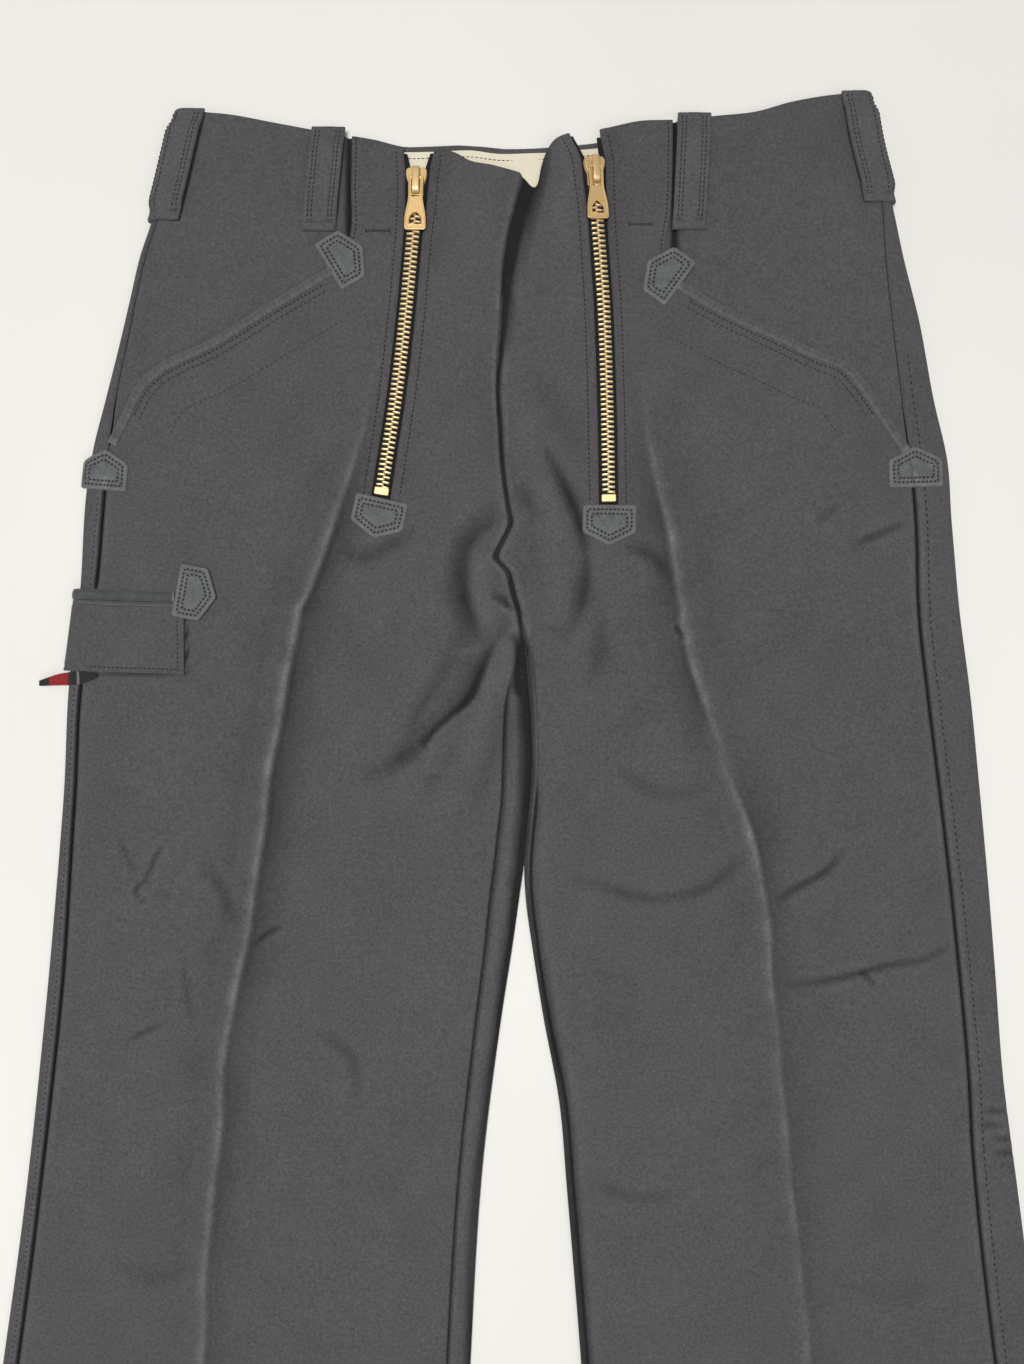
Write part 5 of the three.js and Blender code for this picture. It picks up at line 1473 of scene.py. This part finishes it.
def build_rule_pocket(context):
    def leather(x, drop):
        across = (drop - 289.2) / (298.0 - 289.2)
        band = 1.25 * np.sqrt(np.clip(1 - (2 * np.minimum(across / 0.74, 1) - 1) ** 2, 0.02, 1))
        lip = 0.55 * (across > 0.78)
        wrinkle = 0.05 * np.sin(x * 0.7) + 0.03 * np.sin(x * 1.6 + 1)
        return np.where(across < 0.76, 0.55 + band + wrinkle * (band > 0.6), 0.45 + lip)

    pocket = wrapped_sheet(
        context, "rule_pocket", 3, -196.5, 298.4, 338.6, pocket_height, "moleskin", 60, 90
    )
    paint_rubbing_and_shade(pocket, 0.04)
    binding = wrapped_sheet(
        context, "rule_pocket_piping", 2.6, -202.2, 289.2, 298.0, leather, "binding", 30, 120
    )
    return place(pocket, "moleskin", "rule_pocket"), place(binding, "leather", "rule_pocket_piping")


# The woven label: how far out from its root it reaches, how high it lies and its two edges
LABEL = Table(
    "root x z top bottom",
    (0, -248.5, 0, 337.6, 340.6), (1, -256, 0, 337.2, 343.6), (2, -262.5, 0, 337.0, 344.9),
    (3, -272.5, 4.2, 338.4, 345.2), (4, -285.5, 1.6, 342.4, 345.6),
)
LABEL_BANDS = (
    (0.0, 0.3, (0.018, 0.018, 0.02)),
    (0.3, 0.335, (0.16, 0.155, 0.15)),
    (0.335, 0.5, (0.018, 0.018, 0.02)),
    (0.5, 0.82, (0.25, 0.016, 0.022)),
    (0.82, 1.01, (0.018, 0.018, 0.02)),
)


def build_label(context):
    at = np.linspace(0, 4, 60)[:, None]
    side = np.linspace(0, 1, 14)[None, :]
    x = LABEL.at("x", at)
    drop = mix(LABEL.at("top", at), LABEL.at("bottom", at), side)
    lain = on_garment(RIGHT, np.maximum(x, -262.5), drop, 0.3)[..., 2]
    z = np.where(at <= 2, lain, mix(lain, LABEL.at("z", at), smooth(at, 2, 3)))
    curl = 0.25 * np.sin(at * 3.2) * (side - 0.5)
    upper = np.stack(np.broadcast_arrays(x, -drop, z + 0.8 + curl), -1)
    lower = np.stack(np.broadcast_arrays(x, -drop, z + curl), -1)
    obj = sheet_between("rule_pocket_label", upper, lower, finish_of(context, "label"))
    points = np.array([v.co.x for v in obj.data.vertices]) * 1000 + CENTRE_X
    share = (points - x.max()) / (x.min() - x.max())
    colours = np.zeros((len(points), 4), np.float32)
    for low, high, colour in LABEL_BANDS:
        colours[(share >= low) & (share < high)] = (*colour, 1)
    layer = obj.data.color_attributes.new("band", "FLOAT_COLOR", "POINT")
    layer.data.foreach_set("color", colours.ravel())
    return place(obj, "label", "rule_pocket_label")


# Zips


def along_zip(leg, offset, drop, lift):
    return on_front(leg.zip.at("x", drop) + offset, drop, lift)


def build_tapes(context, leg):
    edge = FRONT_WAIST.at("drop", leg.zip.data[0, 1])
    end = leg.slot_end + 5
    top = -TUCK - 2 * SEAM_GAP
    made = []
    for side in ("inner", "outer"):
        way = -leg.sign if side == "inner" else leg.sign
        drop = np.linspace(edge + 3, end, 110)[:, None]
        slot = leg.zip.at("fall" if side == "inner" else "placket", drop)
        parted = np.maximum(slot - mix(3.4, 1.4, smooth(leg.slider - drop, 0, 30)), SEAM_GAP / 2)
        nearest = mix(SEAM_GAP / 2, parted, smooth(leg.slider - drop, 1, 7))
        offset = way * mix(nearest, TAPE_WIDTH / 2, np.linspace(0, 1, 14)[None, :])
        rib = 0.12 * np.sin(offset * 3.2)
        upper = along_zip(leg, offset, drop, top + rib)
        lower = along_zip(leg, offset, drop, top - 1.0)
        name = f"zip_{leg.name}_tape_{side}"
        obj = sheet_between(name, upper, lower, finish_of(context, "tape"))
        paint_rubbing_and_shade(obj)
        made.append(place(obj, "tape", name))
    return made


TOOTH = np.array(
    [
        (x, y, z)
        for x, y, z in (
            (-0.7, -2.2, -0.9), (0.7, -2.2, -0.9), (0.7, 2.0, -0.9), (-0.7, 2.0, -0.9),
            (-0.7, -2.3, 0.45), (0.7, -2.3, 0.45), (0.7, 2.2, 0.45), (-0.7, 2.2, 0.45),
            (-0.6, -2.15, 0.85), (0.6, -2.15, 0.85), (0.6, 1.9, 0.85), (-0.6, 1.9, 0.85),
            (-0.42, -1.9, 1.02), (0.42, -1.9, 1.02), (0.42, 1.5, 1.02), (-0.42, 1.5, 1.02),
        )
    ]
)
TOOTH_FACES = [(3, 2, 1, 0), (12, 13, 14, 15)] + [
    (level + k, level + (k + 1) % 4, level + 4 + (k + 1) % 4, level + 4 + k)
    for level in (0, 4, 8)
    for k in range(4)
]


def joined(name, pieces, material, smooth_angle=40):
    """One mesh out of many small ones, each given as points and faces."""
    points, faces, start = [], [], 0
    for piece_points, piece_faces in pieces:
        points.append(piece_points)
        faces += [tuple(start + k for k in face) for face in piece_faces]
        start += len(piece_points)
    return mesh_object(name, np.concatenate(points), faces, material, smooth_angle)


def zip_frame(leg, drop):
    """At one drop on a zip: its place, the way across it, towards the waist and up."""
    here = along_zip(leg, 0.0, drop, 0.0)
    waist = along_zip(leg, 0.0, drop - 2, 0.0) - along_zip(leg, 0.0, drop + 2, 0.0)
    waist /= np.linalg.norm(waist)
    across = along_zip(leg, 3.0, drop, 0.0) - along_zip(leg, -3.0, drop, 0.0)
    up = np.cross(across, waist)
    up /= np.linalg.norm(up)
    across = np.cross(waist, up)
    return here, across, waist, up


def build_chain(context, leg):
    pitch = context.scene.trousers.zips.tooth_pitch * 1000
    start = leg.slider + SLIDER_BACK - 1.5
    end = leg.slot_end - 4.6 - 1.6
    teeth = []
    for k, drop in enumerate(np.arange(start, end, pitch / 2)):
        here, across, waist, up = zip_frame(leg, drop)
        way = 1 if k % 2 else -1
        wobble = 0.05 * math.sin(k * 2.3)
        tilt = math.radians(4 * way)
        outwards = across * way
        length = outwards * math.cos(tilt) - waist * abs(math.sin(tilt))
        width = np.cross(up, length)
        origin = here + outwards * 1.55 + up * (-0.15 + wobble)
        local = TOOTH * (0.92, 1.0, 1.0)
        points = origin + local[:, :1] * width + local[:, 1:2] * -length + local[:, 2:] * up
        teeth.append((points, TOOTH_FACES))
    drop = np.linspace(start, end, 60)[:, None]
    offset = np.linspace(-3.4, 3.4, 6)[None, :]
    base = sheet_between(
        f"zip_{leg.name}_cord", along_zip(leg, offset, drop, -0.75),
        along_zip(leg, offset, drop, -1.7), finish_of(context, "tape"),
    )
    paint_rubbing_and_shade(base)
    place(base, "tape")
    obj = joined(f"zip_{leg.name}_chain", teeth, finish_of(context, "brass"), 35)
    return base, place(obj, "brass", f"zip_{leg.name}_chain")


def plate(name, outline, holes, thick, bevel, material, segments=3):
    """A flat plate with rounded edges from outlines in its own plane, in millimetres."""
    curve = bpy.data.curves.new(name + "_outline", "CURVE")
    curve.dimensions = "2D"
    curve.fill_mode = "BOTH"
    for ring in (outline, *holes):
        spline = curve.splines.new("POLY")
        spline.points.add(len(ring) - 1)
        for point, (x, y) in zip(spline.points, ring):
            point.co = (x / 1000, y / 1000, 0, 1)
        spline.use_cyclic_u = True
    curve.extrude = (thick / 2 - bevel) / 1000
    curve.bevel_depth = bevel / 1000
    curve.bevel_resolution = segments
    curve.offset = -bevel / 1000
    shape = bpy.data.objects.new(name + "_outline", curve)
    bpy.context.scene.collection.objects.link(shape)
    bpy.context.view_layer.update()
    depsgraph = bpy.context.evaluated_depsgraph_get()
    mesh = bpy.data.meshes.new_from_object(shape.evaluated_get(depsgraph))
    bpy.data.objects.remove(shape)
    bpy.data.curves.remove(curve)
    mesh.name = name
    mesh.materials.clear()
    mesh.materials.append(material)
    mesh.shade_smooth()
    mesh.set_sharp_from_angle(angle=math.radians(30))
    obj = bpy.data.objects.new(name, mesh)
    bpy.context.scene.collection.objects.link(obj)
    return obj


def bend(points, steps=6):
    """An outline from corners: (x, y) stays sharp and (x, y, radius) is rounded."""
    outline = []
    count = len(points)
    for k, point in enumerate(points):
        here = np.array(point[:2], float)
        if len(point) == 2:
            outline.append(here)
            continue
        before = np.array(points[k - 1][:2], float)
        after = np.array(points[(k + 1) % count][:2], float)
        start = here + (before - here) / np.linalg.norm(before - here) * point[2]
        end = here + (after - here) / np.linalg.norm(after - here) * point[2]
        for t in np.linspace(0, 1, steps):
            outline.append((1 - t) ** 2 * start + 2 * t * (1 - t) * here + t * t * end)
    return [tuple(p) for p in outline]


def slider_outline():
    right = [
        (6.3, 3.4), (6.3, 6.9, 2.6), (2.0, 7.0, 0.8), (0, 6.2, 1.2),
    ]
    left = [(-2.0, 7.0, 0.8), (-6.3, 6.9, 2.6), (-6.3, 3.4)]
    tail = [
        (-5.9, 0.5, 1.6), (-4.5, -2.6, 1.4), (-4.4, -9.6, 1.3),
        (4.4, -9.6, 1.3), (4.5, -2.6, 1.4), (5.9, 0.5, 1.6),
    ]
    return bend([*right, *left, *tail])


def slider_basis(leg):
    """Rotation and place of a slider, from the pull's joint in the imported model."""
    joint = next(j for j in frame["joints"] if j["name"] == f"pull_{leg.name}_hinge")
    axis = -np.array(joint["axis"], float)
    axis /= np.linalg.norm(axis)
    drop = leg.slider
    waist = along_zip(leg, 0.0, drop - SLIDER_FRONT, 0.0) - along_zip(leg, 0.0, drop + SLIDER_BACK, 0.0)
    waist -= axis * (waist @ axis)
    waist /= np.linalg.norm(waist)
    up = np.cross(axis, waist)
    turn = Matrix((axis, waist, up)).transposed().to_4x4()
    return Matrix.Translation(Vector(joint["pos_m"])) @ turn


def build_slider(context, leg):
    brass = finish_of(context, "brass")
    basis = slider_basis(leg)
    foot = basis @ Matrix.Translation((0, 0, -AXIS_UP / 1000))
    lower = plate("slider_lower", slider_outline(), [], 1.0, 0.35, brass)
    lower.data.transform(Matrix.Translation((0, 0, -0.0007)))
    upper = plate("slider_upper", slider_outline(), [], 1.5, 0.5, brass)
    upper.data.transform(Matrix.Translation((0, 0, 0.00145)))
    wedge = plate("slider_wedge", bend([(-2.2, 6.4, 0.8), (0, 0.5, 0.6), (2.2, 6.4, 0.8)]), [], 2.0, 0.2, brass)
    wedge.data.transform(Matrix.Translation((0, 0, 0.0004)))
    inside = AXIS_UP + PULL_THICK / 2 + PULL_CLEAR
    top = inside + 1.3
    outer = bend(
        [(6.7, 1.7), (6.7, top, 2.2), (-9.3, top, 3.4), (-9.3, 1.7), (-8.0, 1.7),
         (-8.0, inside, 2.6), (5.4, inside, 1.6), (5.4, 1.7)]
    )
    bail = plate("slider_bail", outer, [], BAIL_WIDTH, 0.55, brass)
    bail.data.transform(Matrix(((0, 0, 1, 0), (1, 0, 0, 0), (0, 1, 0, 0), (0, 0, 0, 1))))
    pieces = [lower, upper, wedge, bail]
    merged = merge_objects(f"zip_{leg.name}_slider", pieces, brass)
    merged.data.transform(foot)
    return place(merged, "brass", f"zip_{leg.name}_slider")


def merge_objects(name, objects, material):
    points, faces, start = [], [], 0
    for obj in objects:
        points += [tuple(v.co) for v in obj.data.vertices]
        faces += [tuple(start + k for k in p.vertices) for p in obj.data.polygons]
        start += len(obj.data.vertices)
        bpy.data.objects.remove(obj)
    mesh = bpy.data.meshes.new(name)
    mesh.from_pydata(points, [], faces)
    mesh.materials.append(material)
    mesh.shade_smooth()
    mesh.set_sharp_from_angle(angle=math.radians(30))
    obj = bpy.data.objects.new(name, mesh)
    bpy.context.scene.collection.objects.link(obj)
    return obj


def pull_outline(inset=0.0):
    neck, tip, end = 4.5 - inset, 6.45 - inset, 0.8 - PULL_LENGTH + inset
    half = [(-neck, 0.8 - inset, 0.8), (-neck + 0.25, -12.2, 3), (-tip, -23, 4), (-tip, end, 1.7)]
    return bend([*half, *[(-x, y, radius) for x, y, radius in half[::-1]]], 8)


def build_pull(context, leg):
    """The tab of a zip, with a raised rim round it and round its arched window."""
    brass = finish_of(context, "brass")
    opening = bend([(-2.6, -0.8, 0.4), (2.6, -0.8, 0.4), (2.6, -11.2, 0.9), (-2.6, -11.2, 0.9)])

    def window(grow):
        side, foot, shoulder = 3.5 + grow, -27.6 - grow, 2.1 + 0.6 * grow
        arch = [(side, -24, 1.0), (shoulder, -21.6, 1.0), (0, -20.2 + grow, 0.7)]
        return bend([(-side, foot, 0.6), (side, foot, 0.6), *arch, (-shoulder, -21.6, 1.0), (-side, -24, 1.0)])

    tab = plate("pull_tab", pull_outline(0.2), [opening, window(0)], PULL_THICK - 0.5, 0.25, brass)
    rim = plate("pull_rim", pull_outline(), [pull_outline(0.95)], PULL_THICK, 0.3, brass)
    frame_rim = plate("window_rim", window(0.75), [window(0.05)], PULL_THICK, 0.25, brass)
    merged = merge_objects(f"zip_{leg.name}_pull", [tab, rim, frame_rim], brass)
    rest = Matrix.Rotation(math.radians(PULL_REST_TILT), 4, "X")
    merged.data.transform(slider_basis(leg) @ rest)
    return place(merged, "brass", f"zip_{leg.name}_pull", body=f"pull_{leg.name}")


def build_stop(context, leg):
    top = leg.slot_end - 4.6 - 1.6
    here, across, waist, up = zip_frame(leg, top + 2.3)
    outline = bend([(-4.4, -2.3, 1.0), (4.4, -2.3, 1.0), (4.4, 2.3, 1.0), (-4.4, 2.3, 1.0)])
    obj = plate(f"zip_{leg.name}_stop", outline, [], 2.6, 0.5, finish_of(context, "brass"))
    turn = Matrix((across, waist, up)).transposed().to_4x4()
    at = in_frame(here + up * 0.1)
    obj.data.transform(Matrix.Translation(Vector(at)) @ turn)
    return place(obj, "brass", f"zip_{leg.name}_stop")


# Stitches


def stitch_shape(sides=5):
    rings = [(0.0, 0.0)] + [(along, wide) for along, wide in ((-0.36, 0.85), (0.0, 1.0), (0.36, 0.85))]
    points = [(-0.5, 0, 0)]
    for along, wide in rings[1:]:
        for k in range(sides):
            angle = 2 * math.pi * k / sides
            points.append((along, wide * math.cos(angle), wide * math.sin(angle)))
    points.append((0.5, 0, 0))
    faces = [(0, 1 + (k + 1) % sides, 1 + k) for k in range(sides)]
    for ring in range(2):
        low, high = 1 + ring * sides, 1 + (ring + 1) * sides
        faces += [
            (low + k, low + (k + 1) % sides, high + (k + 1) % sides, high + k) for k in range(sides)
        ]
    last = 1 + 2 * sides
    end = len(points) - 1
    faces += [(last + k, last + (k + 1) % sides, end) for k in range(sides)]
    return np.array(points), faces


STITCH, STITCH_FACES = stitch_shape()


THREAD = 0.52


def stitched(points, length, width=0.42, gap=0.7, sink=0.12):
    """Stitches along a line of points in space, each a short thread laid on the surface."""
    lengths = np.linalg.norm(np.diff(points, axis=0), axis=1)
    total = np.concatenate([[0], np.cumsum(lengths)])
    made = []
    for start in np.arange(0, total[-1] - length + gap, length):
        ends = [start + gap / 2, start + length - gap / 2]
        a, b = (np.array([np.interp(e, total, points[:, k]) for k in range(3)]) for e in ends)
        along = b - a
        if np.linalg.norm(along) < 0.2:
            continue
        way = along / np.linalg.norm(along)
        side = np.cross((0, 0, 1), way)
        if np.linalg.norm(side) < 1e-3:
            side = np.array((1.0, 0, 0))
        side /= np.linalg.norm(side)
        up = np.cross(way, side)
        middle = (a + b) / 2 - up * sink
        local = STITCH
        placed = middle + local[:, :1] * along + local[:, 1:2] * side * width + local[:, 2:] * up * width * 0.8
        made.append((placed, STITCH_FACES))
    return made


# The bars that hold the pocket bags: x from and to, and their drop
BARS = ((RIGHT, -87.6, -73.2, 72.9), (LEFT, 70.2, 84, 69))


def pocket_bar(leg):
    """A close bar of stitches with a short cross stitch at each end."""
    made = []
    for owner, start, end, drop in BARS:
        if owner is not leg:
            continue
        for off in (-0.35, 0.35):
            x = np.linspace(start, end, 16)
            made += stitched(on_front(x, drop + off + 0 * x, 0.12), 1.2, 0.5, 0.15)
        for x in (start, end):
            down = np.linspace(drop - 1.6, drop + 1.6, 5)
            made += stitched(on_front(x + 0 * down, down, 0.12), 1.5, 0.5, 0.1)
    return made


def panel_stitches(leg, length):
    """Rows of stitches on the front and the back of one side."""
    made = []
    mouth = leg.mouth.data
    sign = leg.sign
    placket_top = FRONT_WAIST.at("drop", mouth[0, 1])
    drop = np.linspace(placket_top + 1, mouth[MOUTH_BEND, 0] - 18, 30)
    made += stitched(on_front(leg.mouth.at("x", drop) - sign * 2.6, drop, 0.1), length, THREAD)
    edge = FRONT_WAIST.at("drop", leg.zip.data[0, 1])
    drop = np.linspace(edge + 2, leg.slot_end - 1, 90)
    for part, away in (("placket", sign * 4.6), ("fall", -sign * 5.6)):
        x = leg.slot_edge(part, drop) + away
        sewn = drop > FRONT_WAIST.at("drop", x) + 1.5
        made += stitched(on_front(x[sewn], drop[sewn], 0.1), length, THREAD)
    slant = mouth[MOUTH_BEND:-1, ::-1]
    _, at, way = path_points([slant[0] + (sign * 6, 4), *slant[1:]], 2.0)
    inwards = np.stack([-way[:, 1], way[:, 0]], -1) * sign
    line = at + inwards * 5.6
    made += stitched(on_garment(leg, line[:, 0], line[:, 1], 0.1), length, THREAD)
    for row in ((9.5, 0.42), (30, 0.3)):
        line = at + inwards * row[0]
        made += stitched(on_garment(leg, line[:, 0], line[:, 1], 0.05), length * 1.2, row[1])
    drop = np.linspace(leg.mouth_end - 60 if sign > 0 else leg.mouth_end + 30, HEM - 12, 400)
    beside, pitch, width = (6.6, 4.0, 0.62) if sign > 0 else (3.6, 3.2, 0.4)
    seam = leg.side_seam(drop) + sign * beside
    made += stitched(on_garment(leg, seam, drop, 0.1), pitch, width, 0.5 * pitch)
    return made + pocket_bar(leg)


def build_panel_stitches(context, leg):
    length = context.scene.trousers.trim.stitch_length * 1000
    obj = joined(f"stitches_{leg.name}", panel_stitches(leg, length), finish_of(context, "thread"), 80)
    return place(obj, "moleskin")


def build_rule_stitches(context):
    """The rows that hold the rule pocket to the thigh, and one along the waist's lining."""
    length = context.scene.trousers.trim.stitch_length * 1000
    down = np.linspace(303, 335.5, 20)
    side = np.linspace(-262, -200.5, 40)
    made = []
    for x, drop in ((-200.3 + 0 * down, down), (side, 335.8 + 0 * side)):
        at = drop + RULE_SLANT * (x + 196.5)
        made += stitched(on_garment(RIGHT, x, at, SEAM_GAP + pocket_height(x, drop) + 0.1), length, 0.55)
    pocket = joined("stitches_rule_pocket", made, finish_of(context, "thread"), 80)
    x = np.linspace(-82, 68, 120)
    row = np.stack([x, -BACK_WAIST.at("drop", x) - 7.6, 0 * x + TUCK + LINING + 0.15], -1)
    lining = joined("stitches_lining", stitched(row, length, 0.3), finish_of(context, "thread"), 80)
    return place(pocket, "moleskin"), place(lining, "lining")


def build_patch_stitches(context):
    length = context.scene.trousers.trim.stitch_length * 1000 * 0.9
    made = []
    for patch in PATCHES:
        for inset in (2.9, 5.5):
            ring = house(patch[5], inset, 2.4)
            ring = np.concatenate([ring, ring[:1]])
            made += stitched(on_patch(patch, ring, 1.16), length, 0.76, 0.85)
    obj = joined("stitches_patches", made, finish_of(context, "thread"), 80)
    return place(obj, "leather")


def build_loop_stitches(context):
    length = context.scene.trousers.trim.stitch_length * 1000
    made = []
    for loop in LOOPS:
        length_of_loop = loop[3]
        along = np.linspace(2, length_of_loop - 6, 40)
        for at in (-7.2, -5.0, 5.0, 7.2):
            points = loop_surface(loop, np.full_like(along, at / LOOP_WIDTH), along, LOOP_THICK - 0.05)
            made += stitched(points, length, 0.5)
        across = np.linspace(-0.42, 0.42, 12)
        for up in (4.8, 5.9):
            row = loop_surface(loop, across, np.full_like(across, length_of_loop - up), LOOP_THICK - 0.1)
            made += stitched(row, 1.5, 0.42, 0.3)
    obj = joined("stitches_belt_loops", made, finish_of(context, "thread"), 80)
    return place(obj, "moleskin")


# Operators


def report_done(operator, count):
    operator.report({"INFO"}, f"{operator.bl_label}: {count} pieces")
    return {"FINISHED"}


class TROUSERS_OT_fronts(bpy.types.Operator):
    """Builds the two front panels with their folds, creases and zip slots"""

    bl_idname = "trousers.fronts"
    bl_label = "Fronts"

    def execute(self, context):
        for leg in LEGS.values():
            build_front(context, leg)
        return report_done(self, 2)


class TROUSERS_OT_backs(bpy.types.Operator):
    """Builds the two back panels, which come round the side and inner folds"""

    bl_idname = "trousers.backs"
    bl_label = "Backs"

    def execute(self, context):
        for leg in LEGS.values():
            build_back(context, leg)
        return report_done(self, 2)


class TROUSERS_OT_pockets(bpy.types.Operator):
    """Builds the facings of the slanting pockets and the leather binding of their mouths"""

    bl_idname = "trousers.pockets"
    bl_label = "Slanting pockets"

    def execute(self, context):
        for leg in LEGS.values():
            build_facing(context, leg)
            build_piping(context, leg)
        return report_done(self, 4)


class TROUSERS_OT_waist(bpy.types.Operator):
    """Builds the cream lining inside the back waist and the four belt loops"""

    bl_idname = "trousers.waist"
    bl_label = "Waist"

    def execute(self, context):
        build_lining(context)
        for loop in LOOPS:
            build_loop(context, loop)
        return report_done(self, 1 + len(LOOPS))


class TROUSERS_OT_patches(bpy.types.Operator):
    """Builds the leather patches at the ends of the zips and pockets"""

    bl_idname = "trousers.patches"
    bl_label = "Leather patches"

    def execute(self, context):
        for patch in PATCHES:
            build_patch(context, patch)
        return report_done(self, len(PATCHES))


class TROUSERS_OT_rule_pocket(bpy.types.Operator):
    """Builds the rule pocket on the right thigh with its binding and woven label"""

    bl_idname = "trousers.rule_pocket"
    bl_label = "Rule pocket"

    def execute(self, context):
        build_rule_pocket(context)
        build_label(context)
        return report_done(self, 3)


class TROUSERS_OT_zips(bpy.types.Operator):
    """Builds the tapes, teeth, stops, sliders and pull tabs of both zips"""

    bl_idname = "trousers.zips"
    bl_label = "Zips"

    def execute(self, context):
        for leg in LEGS.values():
            build_tapes(context, leg)
            build_chain(context, leg)
            build_stop(context, leg)
            build_slider(context, leg)
            build_pull(context, leg)
        return report_done(self, 14)


class TROUSERS_OT_stitches(bpy.types.Operator):
    """Sews the visible rows of stitches on panels, patches and loops"""

    bl_idname = "trousers.stitches"
    bl_label = "Stitches"

    def execute(self, context):
        for leg in LEGS.values():
            build_panel_stitches(context, leg)
        build_rule_stitches(context)
        build_patch_stitches(context)
        build_loop_stitches(context)
        return report_done(self, 6)


class TROUSERS_OT_stage(bpy.types.Operator):
    """Lays the pale floor, sets the soft studio light and places the camera"""

    bl_idname = "trousers.stage"
    bl_label = "Stage"

    def execute(self, context):
        scene = context.scene
        settings = scene.trousers.stage
        bpy.ops.mesh.primitive_plane_add(size=9, location=(0, 0, -0.0004))
        floor = context.object
        floor.name = "floor"
        floor.data.materials.append(finish_of(context, "floor"))
        lights = (
            ("key_light", (-0.3, 0.15, 2.3), 0.8, 47, (1.0, 0.99, 0.97)),
            ("fill_light", (0.9, -1.1, 2.0), 1.6, 9, (0.96, 0.98, 1.0)),
        )
        made = [floor]
        for name, at, size, power, colour in lights:
            data = bpy.data.lights.new(name, "AREA")
            data.shape = "DISK"
            data.size = size
            data.energy = power
            data.color = colour
            light = bpy.data.objects.new(name, data)
            light.location = at
            light.rotation_euler = (-Vector(at)).to_track_quat("-Z", "Y").to_euler()
            scene.collection.objects.link(light)
            made.append(light)
        world = bpy.data.worlds.new("Studio")
        world.use_nodes = True
        sky = world.node_tree.nodes["Background"]
        sky.inputs[0].default_value = (0.97, 0.98, 1.0, 1)
        sky.inputs[1].default_value = 0.26
        scene.world = world
        lens = bpy.data.cameras.new("camera")
        lens.lens = settings.lens
        lens.sensor_width = 36
        camera = bpy.data.objects.new("camera", lens)
        camera.location = settings.camera_place
        scene.collection.objects.link(camera)
        scene.camera = camera
        scene.view_settings.view_transform = "Standard"
        return report_done(self, len(made))


class TROUSERS_PT_pieces(bpy.types.Panel):
    """Lists the pieces of the trousers and the sizes and colours to change"""

    bl_idname = "TROUSERS_PT_pieces"
    bl_label = "Trousers"
    bl_space_type = "VIEW_3D"
    bl_region_type = "UI"
    bl_category = "Trousers"

    def draw(self, context):
        settings = context.scene.trousers
        for title, group, fields in (
            ("Cloth", settings.cloth, ("colour", "rubbed_and_highlight_colour", "row_step")),
            ("Trim", settings.trim, ("leather_colour", "lining_colour", "stitch_length")),
            ("Zips", settings.zips, ("brass_colour", "tooth_pitch")),
            ("Stage", settings.stage, ("floor_colour", "camera_place", "lens")),
        ):
            box = self.layout.box()
            box.label(text=title)
            for field in fields:
                box.prop(group, field)
        for operator in OPERATORS:
            self.layout.operator(operator.bl_idname)


OPERATORS = (
    TROUSERS_OT_fronts,
    TROUSERS_OT_backs,
    TROUSERS_OT_pockets,
    TROUSERS_OT_waist,
    TROUSERS_OT_patches,
    TROUSERS_OT_rule_pocket,
    TROUSERS_OT_zips,
    TROUSERS_OT_stitches,
    TROUSERS_OT_stage,
)
CLASSES = (
    ClothSettings,
    TrimSettings,
    ZipSettings,
    StageSettings,
    TrousersSettings,
    *OPERATORS,
    TROUSERS_PT_pieces,
)


def register():
    for each in CLASSES:
        bpy.utils.register_class(each)
    bpy.types.Scene.trousers = PointerProperty(type=TrousersSettings)


def unregister():
    del bpy.types.Scene.trousers
    for each in reversed(CLASSES):
        bpy.utils.unregister_class(each)


def main():
    register()
    bpy.ops.trousers.fronts()
    bpy.ops.trousers.backs()
    bpy.ops.trousers.pockets()
    bpy.ops.trousers.waist()
    bpy.ops.trousers.patches()
    bpy.ops.trousers.rule_pocket()
    bpy.ops.trousers.zips()
    bpy.ops.trousers.stitches()
    bpy.ops.trousers.stage()


if __name__ == "__main__":
    main()
